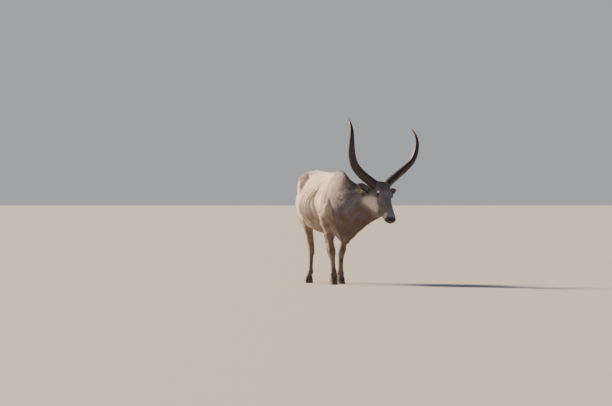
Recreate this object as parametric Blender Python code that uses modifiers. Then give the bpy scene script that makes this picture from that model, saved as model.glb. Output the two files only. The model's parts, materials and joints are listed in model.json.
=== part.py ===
"""A long-horned ankole watusi ox at life size, standing with its head turned to its left.

The animal faces -Y, its left side is +X, +Z is up and its soles are on the floor at z = 0.
Sizes are in metres. Flesh is modelled whole and then parted with thin cuts."""
import math

import bmesh
import bpy
import numpy as np
from mathutils import Matrix, Vector

# Driving dimensions
GAP = 0.0003
VOXEL = 0.008
SMOOTHING = 5
# Triangles of the whole flesh before it is parted, and of each node after
WHOLE_TRIANGLES = 36000
NODE_TRIANGLES = {"trunk": 3000, "neck": 640, "head": 1250, "tail": 170}

# The head: where its poll is, and how it is turned
POLL = Vector((0.355, -0.945, 1.190))
HEAD_YAW = math.radians(21)
HEAD_ROLL = math.radians(7)
HEAD_PITCH = math.radians(60)

# Where each foot stands, x and y, and how far the knee or hock above it bows outward
FEET = {
    "fore_right": (-0.104, -0.520),
    "fore_left": (0.078, -0.240),
    "hind_right": (-0.155, 0.330),
    "hind_left": (0.178, 0.335),
}
BOW = {"fore_right": 0.000, "fore_left": -0.028, "hind_right": 0.000, "hind_left": 0.064}
# How far each pastern slopes outward below the fetlock, and where its slope starts
PASTERN_OUT = {"fore_right": 0.018, "fore_left": 0.000, "hind_right": 0.018, "hind_left": 0.000}
PASTERN_Z = 0.17
# How far the toes of each foot point outward
TOE_OUT = {
    "fore_right": math.radians(10),
    "fore_left": math.radians(10),
    "hind_right": math.radians(40),
    "hind_left": math.radians(12),
}

# Trunk and neck, from tail to throat: x, y, top z, bottom z, then half widths at LEVELS
LEVELS = (0.05, 0.20, 0.45, 0.70, 0.92)
BODY = [
    (0.000, 0.820, 1.200, 1.020, 0.030, 0.050, 0.060, 0.050, 0.030),
    (0.000, 0.775, 1.290, 0.930, 0.055, 0.100, 0.120, 0.100, 0.050),
    (0.000, 0.700, 1.335, 0.850, 0.095, 0.155, 0.178, 0.155, 0.070),
    (0.000, 0.600, 1.357, 0.790, 0.130, 0.205, 0.218, 0.190, 0.080),
    (0.000, 0.510, 1.365, 0.755, 0.145, 0.232, 0.230, 0.200, 0.090),
    (0.000, 0.440, 1.362, 0.725, 0.130, 0.232, 0.232, 0.205, 0.105),
    (0.000, 0.350, 1.352, 0.658, 0.085, 0.190, 0.246, 0.222, 0.120),
    (0.000, 0.230, 1.343, 0.616, 0.066, 0.184, 0.302, 0.282, 0.160),
    (0.000, 0.080, 1.335, 0.606, 0.062, 0.190, 0.335, 0.314, 0.170),
    (0.000, -0.080, 1.331, 0.602, 0.058, 0.187, 0.325, 0.306, 0.160),
    (0.000, -0.220, 1.332, 0.600, 0.052, 0.160, 0.275, 0.255, 0.130),
    (0.000, -0.340, 1.345, 0.600, 0.048, 0.138, 0.235, 0.218, 0.115),
    (0.000, -0.460, 1.345, 0.560, 0.046, 0.126, 0.208, 0.192, 0.100),
    (0.000, -0.560, 1.346, 0.500, 0.045, 0.118, 0.180, 0.158, 0.075),
    (0.008, -0.640, 1.307, 0.478, 0.042, 0.108, 0.155, 0.122, 0.055),
    (0.038, -0.715, 1.249, 0.520, 0.040, 0.101, 0.132, 0.090, 0.042),
    (0.095, -0.785, 1.201, 0.595, 0.038, 0.098, 0.117, 0.068, 0.035),
    (0.165, -0.845, 1.180, 0.672, 0.038, 0.096, 0.108, 0.060, 0.033),
    (0.240, -0.895, 1.178, 0.738, 0.040, 0.094, 0.103, 0.062, 0.034),
    (0.315, -0.940, 1.175, 0.786, 0.040, 0.088, 0.094, 0.068, 0.036),
    (0.358, -0.985, 1.060, 0.780, 0.030, 0.056, 0.058, 0.032, 0.015),
]

# Head, along the face from poll to muzzle: distance, front, underside, half widths at LEVELS
HEAD_FORWARD = 0.036
HEAD = [
    (-0.045, -0.035, -0.110, 0.030, 0.050, 0.055, 0.045, 0.025),
    (-0.020, -0.005, -0.150, 0.070, 0.092, 0.092, 0.078, 0.048),
    (0.030, 0.008, -0.172, 0.082, 0.100, 0.098, 0.084, 0.050),
    (0.080, 0.008, -0.188, 0.074, 0.099, 0.098, 0.084, 0.050),
    (0.140, 0.003, -0.205, 0.072, 0.106, 0.099, 0.082, 0.050),
    (0.185, 0.000, -0.218, 0.064, 0.098, 0.094, 0.080, 0.052),
    (0.240, 0.002, -0.230, 0.053, 0.080, 0.086, 0.078, 0.058),
    (0.300, 0.006, -0.208, 0.044, 0.065, 0.073, 0.068, 0.052),
    (0.360, 0.008, -0.174, 0.041, 0.058, 0.064, 0.058, 0.043),
    (0.420, 0.006, -0.142, 0.043, 0.060, 0.063, 0.054, 0.038),
    (0.455, 0.000, -0.126, 0.047, 0.066, 0.068, 0.056, 0.037),
    (0.488, -0.012, -0.110, 0.046, 0.064, 0.065, 0.051, 0.032),
    (0.510, -0.030, -0.092, 0.028, 0.044, 0.045, 0.034, 0.020),
]

# Left foreleg and left hind leg, standing square: z, x, y, half width, half depth
FORELEG = [
    (1.240, 0.075, -0.360, 0.035, 0.090),
    (1.140, 0.115, -0.380, 0.060, 0.125),
    (1.020, 0.155, -0.430, 0.075, 0.145),
    (0.900, 0.172, -0.455, 0.080, 0.150),
    (0.800, 0.175, -0.440, 0.078, 0.135),
    (0.720, 0.165, -0.400, 0.064, 0.108),
    (0.640, 0.148, -0.385, 0.053, 0.078),
    (0.560, 0.137, -0.385, 0.047, 0.061),
    (0.490, 0.130, -0.385, 0.042, 0.049),
    (0.445, 0.125, -0.387, 0.044, 0.047),
    (0.405, 0.122, -0.388, 0.046, 0.048),
    (0.365, 0.120, -0.384, 0.043, 0.043),
    (0.330, 0.120, -0.381, 0.037, 0.037),
    (0.260, 0.120, -0.380, 0.033, 0.035),
    (0.200, 0.120, -0.380, 0.033, 0.036),
    (0.160, 0.120, -0.382, 0.037, 0.040),
    (0.130, 0.120, -0.385, 0.043, 0.045),
    (0.100, 0.120, -0.395, 0.038, 0.040),
    (0.070, 0.120, -0.405, 0.043, 0.047),
    (0.040, 0.120, -0.413, 0.049, 0.054),
    (0.012, 0.120, -0.415, 0.050, 0.057),
]
HINDLEG = [
    (1.200, 0.100, 0.520, 0.070, 0.160),
    (1.080, 0.135, 0.530, 0.085, 0.190),
    (0.960, 0.155, 0.520, 0.085, 0.195),
    (0.860, 0.162, 0.485, 0.080, 0.175),
    (0.780, 0.163, 0.450, 0.070, 0.150),
    (0.700, 0.150, 0.440, 0.058, 0.115),
    (0.620, 0.128, 0.470, 0.047, 0.085),
    (0.540, 0.103, 0.512, 0.039, 0.063),
    (0.480, 0.085, 0.545, 0.035, 0.056),
    (0.435, 0.078, 0.555, 0.037, 0.058),
    (0.400, 0.079, 0.550, 0.038, 0.053),
    (0.360, 0.084, 0.535, 0.035, 0.043),
    (0.310, 0.093, 0.520, 0.031, 0.036),
    (0.240, 0.106, 0.500, 0.029, 0.034),
    (0.180, 0.118, 0.482, 0.031, 0.035),
    (0.140, 0.126, 0.465, 0.038, 0.043),
    (0.105, 0.134, 0.450, 0.037, 0.040),
    (0.070, 0.141, 0.437, 0.043, 0.047),
    (0.040, 0.145, 0.430, 0.049, 0.054),
    (0.012, 0.145, 0.430, 0.050, 0.057),
]
FORE_SWING_Z = 0.80
HIND_SWING_Z = 0.86
ANKLE_Z = 0.05
HOOF_Z = 0.07

# Tail: x, y, z of the middle, half width, half depth
TAIL = [
    (0.000, 0.740, 1.260, 0.040, 0.040),
    (0.003, 0.810, 1.245, 0.036, 0.036),
    (0.010, 0.862, 1.170, 0.028, 0.028),
    (0.032, 0.876, 1.050, 0.024, 0.024),
    (0.040, 0.876, 0.900, 0.021, 0.021),
    (0.044, 0.870, 0.750, 0.019, 0.019),
    (0.046, 0.866, 0.640, 0.019, 0.019),
    (0.046, 0.864, 0.560, 0.019, 0.019),
]
SWITCH = [
    (0.046, 0.864, 0.560, 0.020, 0.021),
    (0.046, 0.864, 0.520, 0.027, 0.032),
    (0.045, 0.865, 0.440, 0.031, 0.040),
    (0.044, 0.868, 0.350, 0.026, 0.034),
    (0.043, 0.870, 0.270, 0.011, 0.013),
]
TAIL_END_Z = 0.600

# Lumps of muscle and bone on the left side: middle, radii, turn in degrees
LUMPS = {
    "hook_bone": ((0.130, 0.480, 1.235), (0.094, 0.130, 0.098), (0, 0, 0)),
    "pin_bone": ((0.090, 0.750, 1.190), (0.050, 0.052, 0.046), (0, 0, 0)),
    "elbow": ((0.165, -0.330, 0.730), (0.048, 0.060, 0.065), (0, 0, 0)),
    "stifle": ((0.170, 0.350, 0.765), (0.056, 0.065, 0.075), (0, 0, 0)),
}
HUMP = ((0.0, -0.430, 1.265), (0.062, 0.175, 0.102), (0, 0, 0))
SHEATH = ((0.0, 0.110, 0.585), (0.026, 0.044, 0.086), (-20, 0, 0))
# The same on the left of the head, in the head's own axes
HEAD_LUMPS = {
    "brow": ((0.078, -0.142, -0.020), (0.030, 0.042, 0.024), (0, 0, 0)),
    "cheek": ((0.066, -0.205, -0.135), (0.030, 0.085, 0.070), (0, 0, 0)),
}

# Horns and ears, from the poll in upright axes: outward, back, up, then two radii
HORN = [
    (0.055, 0.010, -0.030, 0.049, 0.056),
    (0.100, 0.035, -0.005, 0.049, 0.056),
    (0.152, 0.066, 0.033, 0.048, 0.055),
    (0.230, 0.097, 0.084, 0.046, 0.053),
    (0.330, 0.110, 0.165, 0.043, 0.050),
    (0.400, 0.085, 0.240, 0.040, 0.046),
    (0.461, 0.045, 0.332, 0.036, 0.041),
    (0.490, 0.025, 0.430, 0.031, 0.034),
    (0.502, 0.026, 0.545, 0.023, 0.026),
    (0.501, 0.065, 0.645, 0.014, 0.016),
    (0.493, 0.141, 0.735, 0.003, 0.003),
]
EAR = [
    (0.070, 0.074, -0.116, 0.017, 0.017),
    (0.108, 0.072, -0.104, 0.019, 0.021),
    (0.145, 0.070, -0.088, 0.015, 0.033),
    (0.190, 0.070, -0.068, 0.011, 0.041),
    (0.230, 0.072, -0.050, 0.009, 0.037),
    (0.262, 0.072, -0.037, 0.007, 0.024),
    (0.285, 0.072, -0.029, 0.004, 0.006),
]
EYE = (0.094, -0.158, -0.048)
EYE_RADIUS = 0.0185

# Hooves: one claw from below, in widths and half lengths, straight on its inner side, toe at -Y
CLAW_OUTLINE = (
    (0.06, -0.98), (0.45, -0.90), (0.85, -0.45), (0.98, 0.15), (0.80, 0.75),
    (0.40, 1.00), (0.05, 0.80), (0.00, 0.10), (0.00, -0.55),
)
CLAW_SIDES = 17
CLAW_LENGTH = 0.112
CLAW_WIDTH = 0.047
CLEFT_HALF = 0.0035
CLAW_FORWARD = 0.004
# Share of the claw's height, and how large its outline is there
CLAW_RINGS = ((0.0, 1.0), (0.55, 0.92), (0.92, 0.86), (1.0, 0.80))
WIDTH_KEPT = 0.3
TOP_BACK = 0.014
CORONET_TOE_Z = 0.074
CORONET_HEEL_Z = 0.046
# The block that cuts a leg off above its claws
CORONET_BLOCK = (0.11, 0.13, 0.20)
CORONET_BLOCK_BACK = 0.008

# Cuts between the nodes of flesh: a foreleg's outline is seen from the front, x and z, and
# a hind leg's from the side, y and z; each runs through the range that follows it
FORE_CUT = ((0.45, 0.600), (0.092, 0.600), (0.086, 0.500), (0.004, 0.455), (0.004, -0.2), (0.45, -0.2))
FORE_CUT_Y = (-0.90, 0.10)
HIND_CUT = (
    (-0.15, 0.470), (0.235, 0.470), (0.275, 0.600), (0.360, 0.682),
    (0.780, 0.682), (0.780, -0.200), (-0.15, -0.200),
)
HIND_CUT_X = (0.003, 0.45)
NECK_CUT_AT = Vector((0.0, -0.590, 0.950))
NECK_CUT_NORMAL = Vector((0.0, -0.974, 0.226))
HEAD_CUT_AT = Vector((0.0, -0.050, -0.135))
HEAD_CUT_NORMAL = Vector((0.0, -0.520, 0.853))
TAIL_CUT_Y = 0.836

# A box's corners seen from above, and its faces where the lower four come first
CORNERS = ((-1, -1), (1, -1), (1, 1), (-1, 1))
BOX_FACES = ((3, 2, 1, 0), (4, 5, 6, 7), (0, 1, 5, 4), (1, 2, 6, 5), (2, 3, 7, 6), (3, 0, 4, 7))


def clear_scene():
    for old in list(bpy.data.objects):
        bpy.data.objects.remove(old, do_unlink=True)


def collection(name):
    made = bpy.data.collections.new(name)
    bpy.context.scene.collection.children.link(made)
    return made


def material(name, color, roughness):
    made = bpy.data.materials.new(name)
    made.use_nodes = True
    shader = made.node_tree.nodes["Principled BSDF"]
    shader.inputs["Base Color"].default_value = (*color, 1.0)
    shader.inputs["Roughness"].default_value = roughness
    shader.inputs["Metallic"].default_value = 0.0
    made.diffuse_color = (*color, 1.0)
    return made


# Curves and lofts
def along(rows, keys, at):
    """Smooth values between rows, one row for each key, read at the given places."""
    rows = np.array(rows, float)
    keys = np.array(keys, float)
    slopes = np.diff(rows, axis=0) / np.diff(keys)[:, None]
    tangents = np.vstack([slopes[:1], (slopes[1:] + slopes[:-1]) / 2, slopes[-1:]])
    i = np.clip(np.searchsorted(keys, at, side="right") - 1, 0, len(keys) - 2)
    span = (keys[i + 1] - keys[i])[:, None]
    t = (np.array(at) - keys[i])[:, None] / span
    start = (2 * t**3 - 3 * t**2 + 1) * rows[i] + (t**3 - 2 * t**2 + t) * span * tangents[i]
    end = (3 * t**2 - 2 * t**3) * rows[i + 1] + (t**3 - t**2) * span * tangents[i + 1]
    return start + end


def closed_curve(points, count):
    """A smooth closed curve through the points, as count new points."""
    points = np.array(points, float)
    ring = np.vstack([points[-2:], points, points[:3]])
    at = np.arange(count) / count * len(points)
    return along(ring, np.arange(-2, len(points) + 3), at)


def mesh_object(name, verts, faces):
    mesh = bpy.data.meshes.new(name)
    mesh.from_pydata([tuple(v) for v in verts], [], faces)
    bm = bmesh.new()
    bm.from_mesh(mesh)
    bmesh.ops.recalc_face_normals(bm, faces=bm.faces)
    bm.to_mesh(mesh)
    bm.free()
    made = bpy.data.objects.new(name, mesh)
    PARTS.objects.link(made)
    return made


def loft(name, rings):
    """A closed skin over rings of equal counts, with a fan of faces on each end."""
    count = len(rings[0])
    verts = list(np.vstack(rings))
    verts += [rings[0].mean(axis=0), rings[-1].mean(axis=0)]
    faces = []
    for r in range(len(rings) - 1):
        for k in range(count):
            a, b = r * count + k, r * count + (k + 1) % count
            faces += [(a, b, b + count), (a, b + count, a + count)]
    last = (len(rings) - 1) * count
    for k in range(count):
        faces.append((len(verts) - 2, (k + 1) % count, k))
        faces.append((len(verts) - 1, last + k, last + (k + 1) % count))
    return mesh_object(name, verts, faces)


def sections(name, rows, rings=60, sides=48, place=None):
    """A form of upright outlines across a path in plan, as a trunk or a head has."""
    steps = [math.dist(a[:2], b[:2]) for a, b in zip(rows, rows[1:])]
    keys = np.concatenate([[0.0], np.cumsum(steps)])
    path = along(rows, keys, np.linspace(0.0, keys[-1], rings))
    made = []
    for k, row in enumerate(path):
        ahead = path[min(k + 1, rings - 1)][:2] - path[max(k - 1, 0)][:2]
        across = np.array((-ahead[1], ahead[0])) / np.linalg.norm(ahead)
        x, y, top, bottom = row[:4]
        right = [(w, top + (bottom - top) * level) for w, level in zip(row[4:], LEVELS)]
        left = [(-w, z) for w, z in reversed(right)]
        outline = closed_curve([(0, top), *right, (0, bottom), *left], sides)
        plan = np.array((x, y)) + outline[:, :1] * across
        made.append(np.column_stack([plan, outline[:, 1]]))
    form = loft(name, made)
    if place is not None:
        form.data.transform(place)
    return form


def side_of(foot_name):
    return 1 if foot_name.endswith("left") else -1


def leaned(foot_name, x, y, z, end, swing_z):
    """A leg's middle at a height, once it is leaned and bowed to end at its foot."""
    side, foot, kick = side_of(foot_name), FEET[foot_name], PASTERN_OUT[foot_name]
    lean = min(max((swing_z - z) / (swing_z - ANKLE_Z), 0.0), 1.0)
    low = min(max((PASTERN_Z - z) / (PASTERN_Z - HOOF_Z), 0.0), 1.0)
    bowed = side * (x + BOW[foot_name] * math.sin(math.pi * lean))
    x = bowed + lean * (foot[0] - side * (end[0] + kick)) + side * kick * low * low * (3 - 2 * low)
    return x, y + lean * (foot[1] - end[1])


def limb(foot_name, rows, swing_z, sides=28):
    """A leg of level ovals, leaned and bowed below its swing height to end at its foot."""
    rows = sorted(rows)
    keys = [row[0] for row in rows]
    angles = np.arange(sides) / sides * 2 * math.pi
    made = []
    for z, x, y, wide, deep in along(rows, keys, np.linspace(keys[0], keys[-1], 90)):
        x, y = leaned(foot_name, x, y, z, rows[0][1:3], swing_z)
        ring = [x + wide * np.cos(angles), y + deep * np.sin(angles), np.full(sides, z)]
        made.append(np.column_stack(ring))
    return loft(foot_name, made)


def sweep(name, rows, rings=30, sides=24, up=Vector((0, 0, 1)), grow=0.0):
    """A tube of ovals across a smooth path, the second radius lying nearest to up."""
    path = along(rows, range(len(rows)), np.linspace(0, len(rows) - 1, rings))
    angles = np.arange(sides) / sides * 2 * math.pi
    made = []
    for k, row in enumerate(path):
        ahead = Vector(path[min(k + 1, rings - 1)][:3]) - Vector(path[max(k - 1, 0)][:3])
        ahead.normalize()
        across = ahead.cross(up).normalized()
        over = across.cross(ahead)
        middle = np.array(row[:3])
        wide = np.outer(np.cos(angles), np.array(across)) * (row[3] + grow)
        tall = np.outer(np.sin(angles), np.array(over)) * (row[4] + grow)
        made.append(middle + wide + tall)
    if grow:
        step = made[0].mean(axis=0) - made[1].mean(axis=0)
        made[0] = made[0] + step / np.linalg.norm(step) * grow
    return loft(name, made)


def lump(name, spec, side=1, place=None, segments=24):
    """An oval lump, mirrored to the right where side is -1."""
    middle, radii, turn = spec
    bpy.ops.mesh.primitive_uv_sphere_add(
        segments=segments, ring_count=segments * 2 // 3, radius=1.0)
    made = bpy.context.object
    made.name = name
    for linked in list(made.users_collection):
        linked.objects.unlink(made)
    PARTS.objects.link(made)
    spin = Matrix.Identity(4)
    for axis, angle in zip("XYZ", turn):
        spin = Matrix.Rotation(math.radians(angle) * (1 if axis == "X" else side), 4, axis) @ spin
    where = Matrix.Translation((side * middle[0], middle[1], middle[2]))
    whole = where @ spin @ Matrix.Diagonal((*radii, 1.0))
    made.data.transform(place @ whole if place is not None else whole)
    return made


# Joining, cutting and tidying
def apply_modifiers(target):
    evaluated = target.evaluated_get(bpy.context.evaluated_depsgraph_get())
    target.modifiers.clear()
    old = target.data
    target.data = bpy.data.meshes.new_from_object(evaluated)
    bpy.data.meshes.remove(old)


def join(name, pieces):
    """One object of several meshes, which may still pass through each other."""
    bm = bmesh.new()
    for piece in pieces:
        bm.from_mesh(piece.data)
        bpy.data.objects.remove(piece, do_unlink=True)
    mesh = bpy.data.meshes.new(name)
    bm.to_mesh(mesh)
    bm.free()
    made = bpy.data.objects.new(name, mesh)
    PARTS.objects.link(made)
    return made


def copy_of(name, source):
    made = bpy.data.objects.new(name, source.data.copy())
    PARTS.objects.link(made)
    return made


def largest_piece(target):
    """Drops the crumbs that a cut leaves, so that the node stays one body."""
    bm = bmesh.new()
    bm.from_mesh(target.data)
    seen = set()
    islands = []
    for first in bm.verts:
        if first in seen:
            continue
        island, queue = [], [first]
        seen.add(first)
        while queue:
            vert = queue.pop()
            island.append(vert)
            for edge in vert.link_edges:
                other = edge.other_vert(vert)
                if other not in seen:
                    seen.add(other)
                    queue.append(other)
        islands.append(island)
    islands.sort(key=len)
    for island in islands[:-1]:
        bmesh.ops.delete(bm, geom=island, context="VERTS")
    bmesh.ops.triangulate(bm, faces=bm.faces)
    bm.to_mesh(target.data)
    bm.free()


def boolean(target, cutter, operation):
    modifier = target.modifiers.new("cut", "BOOLEAN")
    modifier.operation = operation
    modifier.solver = "EXACT"
    modifier.object = cutter
    bpy.context.view_layer.update()
    apply_modifiers(target)


def as_cutter(target):
    PARTS.objects.unlink(target)
    CUTTERS.objects.link(target)
    target.hide_render = True
    target.display_type = "WIRE"
    return target


def half_space(name, at, normal, reach=3.0):
    """A big box whose one face is the cutting plane, on the side that normal points to."""
    turn = normal.to_track_quat("Z", "Y").to_matrix().to_4x4()
    corners = [(x * reach, y * reach, z * reach) for z in (0, 2) for x, y in CORNERS]
    verts = [Matrix.Translation(at) @ turn @ Vector(corner) for corner in corners]
    return as_cutter(mesh_object(name, verts, BOX_FACES))


def prism(name, outline, reach, place, grow):
    """An outline run through its reach, moved outward by grow and set by a placing rule."""
    count = len(outline)
    area = sum(a[0] * b[1] - b[0] * a[1] for a, b in zip(outline, outline[1:] + outline[:1]))
    turn = math.copysign(1.0, area)
    verts = []
    for run in (reach[0] - grow, reach[1] + grow):
        for k, point in enumerate(outline):
            before = Vector(point) - Vector(outline[k - 1])
            after = Vector(outline[(k + 1) % count]) - Vector(point)
            normals = [turn * Vector((line.y, -line.x)).normalized() for line in (before, after)]
            corner = normals[0] + normals[1]
            corner *= grow * 2 / corner.length_squared
            verts.append(place(point[0] + corner.x, point[1] + corner.y, run))
    faces = [tuple(range(count)), tuple(reversed(range(count, 2 * count)))]
    for k in range(count):
        after = (k + 1) % count
        faces.append((k, after, after + count, k + count))
    return as_cutter(mesh_object(name, verts, faces))


def leg_cutters(foot_name):
    """The space that belongs to a leg, a little smaller and a little larger."""
    side = 1 if foot_name.endswith("left") else -1
    made = []
    for grow in (-GAP / 2, GAP / 2):
        name = foot_name + ("_inner" if grow < 0 else "_outer")
        if foot_name.startswith("fore"):
            made.append(prism(name, FORE_CUT, FORE_CUT_Y, lambda u, z, run: (side * u, run, z), grow))
        else:
            made.append(prism(name, HIND_CUT, HIND_CUT_X, lambda u, z, run: (side * run, u, z), grow))
    return made


def part_off(name, source, cutter, grown_cutter):
    """Makes a node of what is inside the cutter, and takes the grown cutter from the source."""
    node = copy_of(name, source)
    boolean(node, cutter, "INTERSECT")
    boolean(source, grown_cutter, "DIFFERENCE")
    largest_piece(node)
    return node


def split_plane(name, source, at, normal):
    """Parts off what lies ahead of a plane, with a thin gap on both of its sides."""
    ahead = half_space(name + "_ahead", at + normal * GAP, normal)
    grown = half_space(name + "_grown", at - normal * GAP, normal)
    return part_off(name, source, ahead, grown)


# The head's places
def head_upright():
    turn = Matrix.Rotation(HEAD_YAW, 4, "Z") @ Matrix.Rotation(HEAD_ROLL, 4, "Y")
    return Matrix.Translation(POLL) @ turn


def head_place():
    forward = Matrix.Translation((0, 0, HEAD_FORWARD))
    return head_upright() @ Matrix.Rotation(HEAD_PITCH, 4, "X") @ forward


def placed_rows(rows, side):
    """Rows of outward, back, up and radii, as world points on one side of the poll."""
    made = []
    for outward, back, up, wide, tall in rows:
        point = head_upright() @ Vector((side * outward, back, up))
        made.append((*point, wide, tall))
    return made


# Making the nodes
def make_flesh():
    """The whole animal but horns, ears, eyes and hooves, as one closed skin."""
    head = head_place()
    pieces = [sections("body_form", BODY, rings=90)]
    pieces.append(sections("head_form", [(0.0, -d, *rest) for d, *rest in HEAD], place=head))
    pieces.append(sweep("tail_form", TAIL, up=Vector((1, 0, 0))))
    pieces.append(lump("hump", HUMP))
    pieces.append(lump("sheath", SHEATH))
    for side in (-1, 1):
        hand = "left" if side > 0 else "right"
        for leg, rows, swing_z in (("fore_", FORELEG, FORE_SWING_Z), ("hind_", HINDLEG, HIND_SWING_Z)):
            foot = leg + hand
            pieces.append(limb(foot, rows, swing_z))
        for name, spec in LUMPS.items():
            pieces.append(lump(name, spec, side))
        for name, spec in HEAD_LUMPS.items():
            pieces.append(lump(name, spec, side, head))
    flesh = join("trunk", pieces)
    remesh = flesh.modifiers.new("one_skin", "REMESH")
    remesh.mode = "VOXEL"
    remesh.voxel_size = VOXEL
    soften = flesh.modifiers.new("soften", "SMOOTH")
    soften.factor = 0.5
    soften.iterations = SMOOTHING
    apply_modifiers(flesh)
    thin(flesh, WHOLE_TRIANGLES)
    return flesh


def thin(target, triangles):
    """Brings a mesh down to about a number of triangles."""
    count = sum(len(face.vertices) - 2 for face in target.data.polygons)
    modifier = target.modifiers.new("thin", "DECIMATE")
    modifier.use_collapse_triangulate = True
    modifier.ratio = triangles / count
    apply_modifiers(target)


def make_claw(name, foot_name, lateral):
    """One claw of a hoof: flat below, sloping in to the coronet, its toe a little turned in."""
    foot = FEET[foot_name]
    outline = closed_curve(CLAW_OUTLINE, CLAW_SIDES)
    turn = Matrix.Rotation(side_of(foot_name) * TOE_OUT[foot_name], 3, "Z")
    rings = []
    for part, spread in CLAW_RINGS:
        ring = []
        width = CLAW_WIDTH * (WIDTH_KEPT + (1 - WIDTH_KEPT) * spread)
        for x, y in outline:
            reach = CLAW_LENGTH / 2 * y * spread
            slope = reach / CLAW_LENGTH + 0.5
            top = CORONET_TOE_Z + (CORONET_HEEL_Z - CORONET_TOE_Z) * slope
            back = reach + part * TOP_BACK - CLAW_FORWARD
            place = turn @ Vector((lateral * (CLEFT_HALF + x * width), back, 0))
            ring.append((foot[0] + place.x, foot[1] + place.y, top * part))
        rings.append(np.array(ring))
    return loft(name, rings)


def coronet_cutter(foot_name):
    """What lies below the sloping top of the two claws."""
    foot = FEET[foot_name]
    turn = Matrix.Rotation(side_of(foot_name) * TOE_OUT[foot_name], 4, "Z")
    rise = math.atan2(CORONET_TOE_Z - CORONET_HEEL_Z, CLAW_LENGTH)
    tilt = Matrix.Rotation(-rise, 4, "X")
    height = (CORONET_TOE_Z + CORONET_HEEL_Z) / 2 + GAP * 3
    wide, deep, tall = CORONET_BLOCK
    verts = []
    for z in (-tall, 0.0):
        for x, y in CORNERS:
            local = tilt @ Vector((x * wide, y * deep, z)) + Vector((0, CORONET_BLOCK_BACK, height))
            verts.append(Vector((*foot, 0)) + turn @ local)
    return as_cutter(mesh_object("coronet_" + foot_name, verts, BOX_FACES))


def make_legs(flesh):
    for foot_name in FEET:
        side = side_of(foot_name)
        inner, outer = leg_cutters(foot_name)
        leg = part_off(foot_name.replace("_", "leg_"), flesh, inner, outer)
        boolean(leg, coronet_cutter(foot_name), "DIFFERENCE")
        largest_piece(leg)
        leg.data.materials.append(COAT)
        for claw, lateral in (("outer", side), ("inner", -side)):
            hoof = make_claw("claw_" + foot_name + "_" + claw, foot_name, lateral)
            hoof.data.materials.append(HOOF)
    largest_piece(flesh)


def let_in(socket, nodes):
    """Cuts a socket out of each node that it reaches into."""
    as_cutter(socket)
    for node in nodes:
        boolean(node, socket, "DIFFERENCE")


def make_head_parts(head, neck_node):
    """Horns, ears and eyes, each let into the head with a thin gap around it."""
    for side in (-1, 1):
        hand = "left" if side > 0 else "right"
        forward_up = head_upright().to_3x3() @ Vector((0, -0.6, 0.8))
        rows = placed_rows(HORN, side)
        horn = sweep("horn_" + hand, rows, rings=24, sides=10, up=forward_up)
        horn.data.materials.append(HORN_MATERIAL)
        socket = sweep("horn_socket_" + hand, rows, rings=24, sides=10, up=forward_up, grow=GAP)
        let_in(socket, (head, neck_node))
        rows = placed_rows(EAR, side)
        up = head_upright().to_3x3() @ Vector((0, 0, 1))
        ear = sweep("ear_" + hand, rows, rings=9, sides=10, up=up)
        ear.data.materials.append(COAT)
        socket = sweep("ear_socket_" + hand, rows, rings=9, sides=10, up=up, grow=GAP)
        let_in(socket, (head, neck_node))
        eye_ball = (EYE, (EYE_RADIUS,) * 3, (0, 0, 0))
        eye = lump("eye_" + hand, eye_ball, side, head_place(), 12)
        eye.data.materials.append(EYE_MATERIAL)
        eye_room = (EYE, (EYE_RADIUS + GAP,) * 3, (0, 0, 0))
        socket = lump("eye_socket_" + hand, eye_room, side, head_place(), 12)
        let_in(socket, (head,))
    largest_piece(head)
    largest_piece(neck_node)


def make_tail(flesh):
    tail = split_plane("tail", flesh, Vector((0, TAIL_CUT_Y, 1.0)), Vector((0, 1, 0)))
    low = half_space("tail_low", Vector((0, 0, TAIL_END_Z + GAP)), Vector((0, 0, -1)))
    boolean(tail, low, "DIFFERENCE")
    largest_piece(tail)
    thin(tail, NODE_TRIANGLES["tail"])
    tail.data.materials.append(COAT)
    switch = sweep("tail_switch", SWITCH, rings=9, sides=10, up=Vector((1, 0, 0)))
    top = max(vert.co.z for vert in switch.data.vertices)
    switch.data.transform(Matrix.Translation((0, 0, TAIL_END_Z - GAP - top)))
    switch.data.materials.append(SWITCH_HAIR)


def centre_on_floor():
    """Moves every piece so that the middle of the whole animal's box is over the origin."""
    corners = [vert.co for made in PARTS.objects for vert in made.data.vertices]
    middle_x = (min(c.x for c in corners) + max(c.x for c in corners)) / 2
    middle_y = (min(c.y for c in corners) + max(c.y for c in corners)) / 2
    for made in list(PARTS.objects) + list(CUTTERS.objects):
        made.data.transform(Matrix.Translation((-middle_x, -middle_y, 0)))
    print("middle of the box", round(middle_x, 5), round(middle_y, 5))


clear_scene()
PARTS = collection("ankole_watusi")
CUTTERS = collection("cutters")
COAT = material("short_coat", (0.62, 0.56, 0.50), 0.85)
HORN_MATERIAL = material("horn", (0.035, 0.022, 0.016), 0.45)
HOOF = material("hoof", (0.030, 0.024, 0.020), 0.5)
EYE_MATERIAL = material("eye", (0.010, 0.007, 0.006), 0.05)
SWITCH_HAIR = material("tail_hair", (0.10, 0.08, 0.07), 0.9)

trunk = make_flesh()
make_tail(trunk)
head_to_world = head_place()
neck = split_plane("neck", trunk, NECK_CUT_AT, NECK_CUT_NORMAL)
head_plane = head_to_world @ HEAD_CUT_AT
skull = split_plane("head", neck, head_plane, head_to_world.to_3x3() @ HEAD_CUT_NORMAL)
for flesh_node in (trunk, neck, skull):
    largest_piece(flesh_node)
    thin(flesh_node, NODE_TRIANGLES[flesh_node.name])
    flesh_node.data.materials.append(COAT)
make_legs(trunk)
make_head_parts(skull, neck)
centre_on_floor()
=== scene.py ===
# %% [markdown]
# # An ankole watusi ox, dressed for a museum
# The plain solids of the ox give its size, its stance and where everything is.
# This lesson puts a skin, a coat, horns, hooves and eyes on them, and lights them softly.
# Everything is in metres, apart from a few long tables in millimetres. The ox faces -Y, its
# left side is +X, and its soles are at z = 0.

# %% Load the solids
import json
import math

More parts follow.
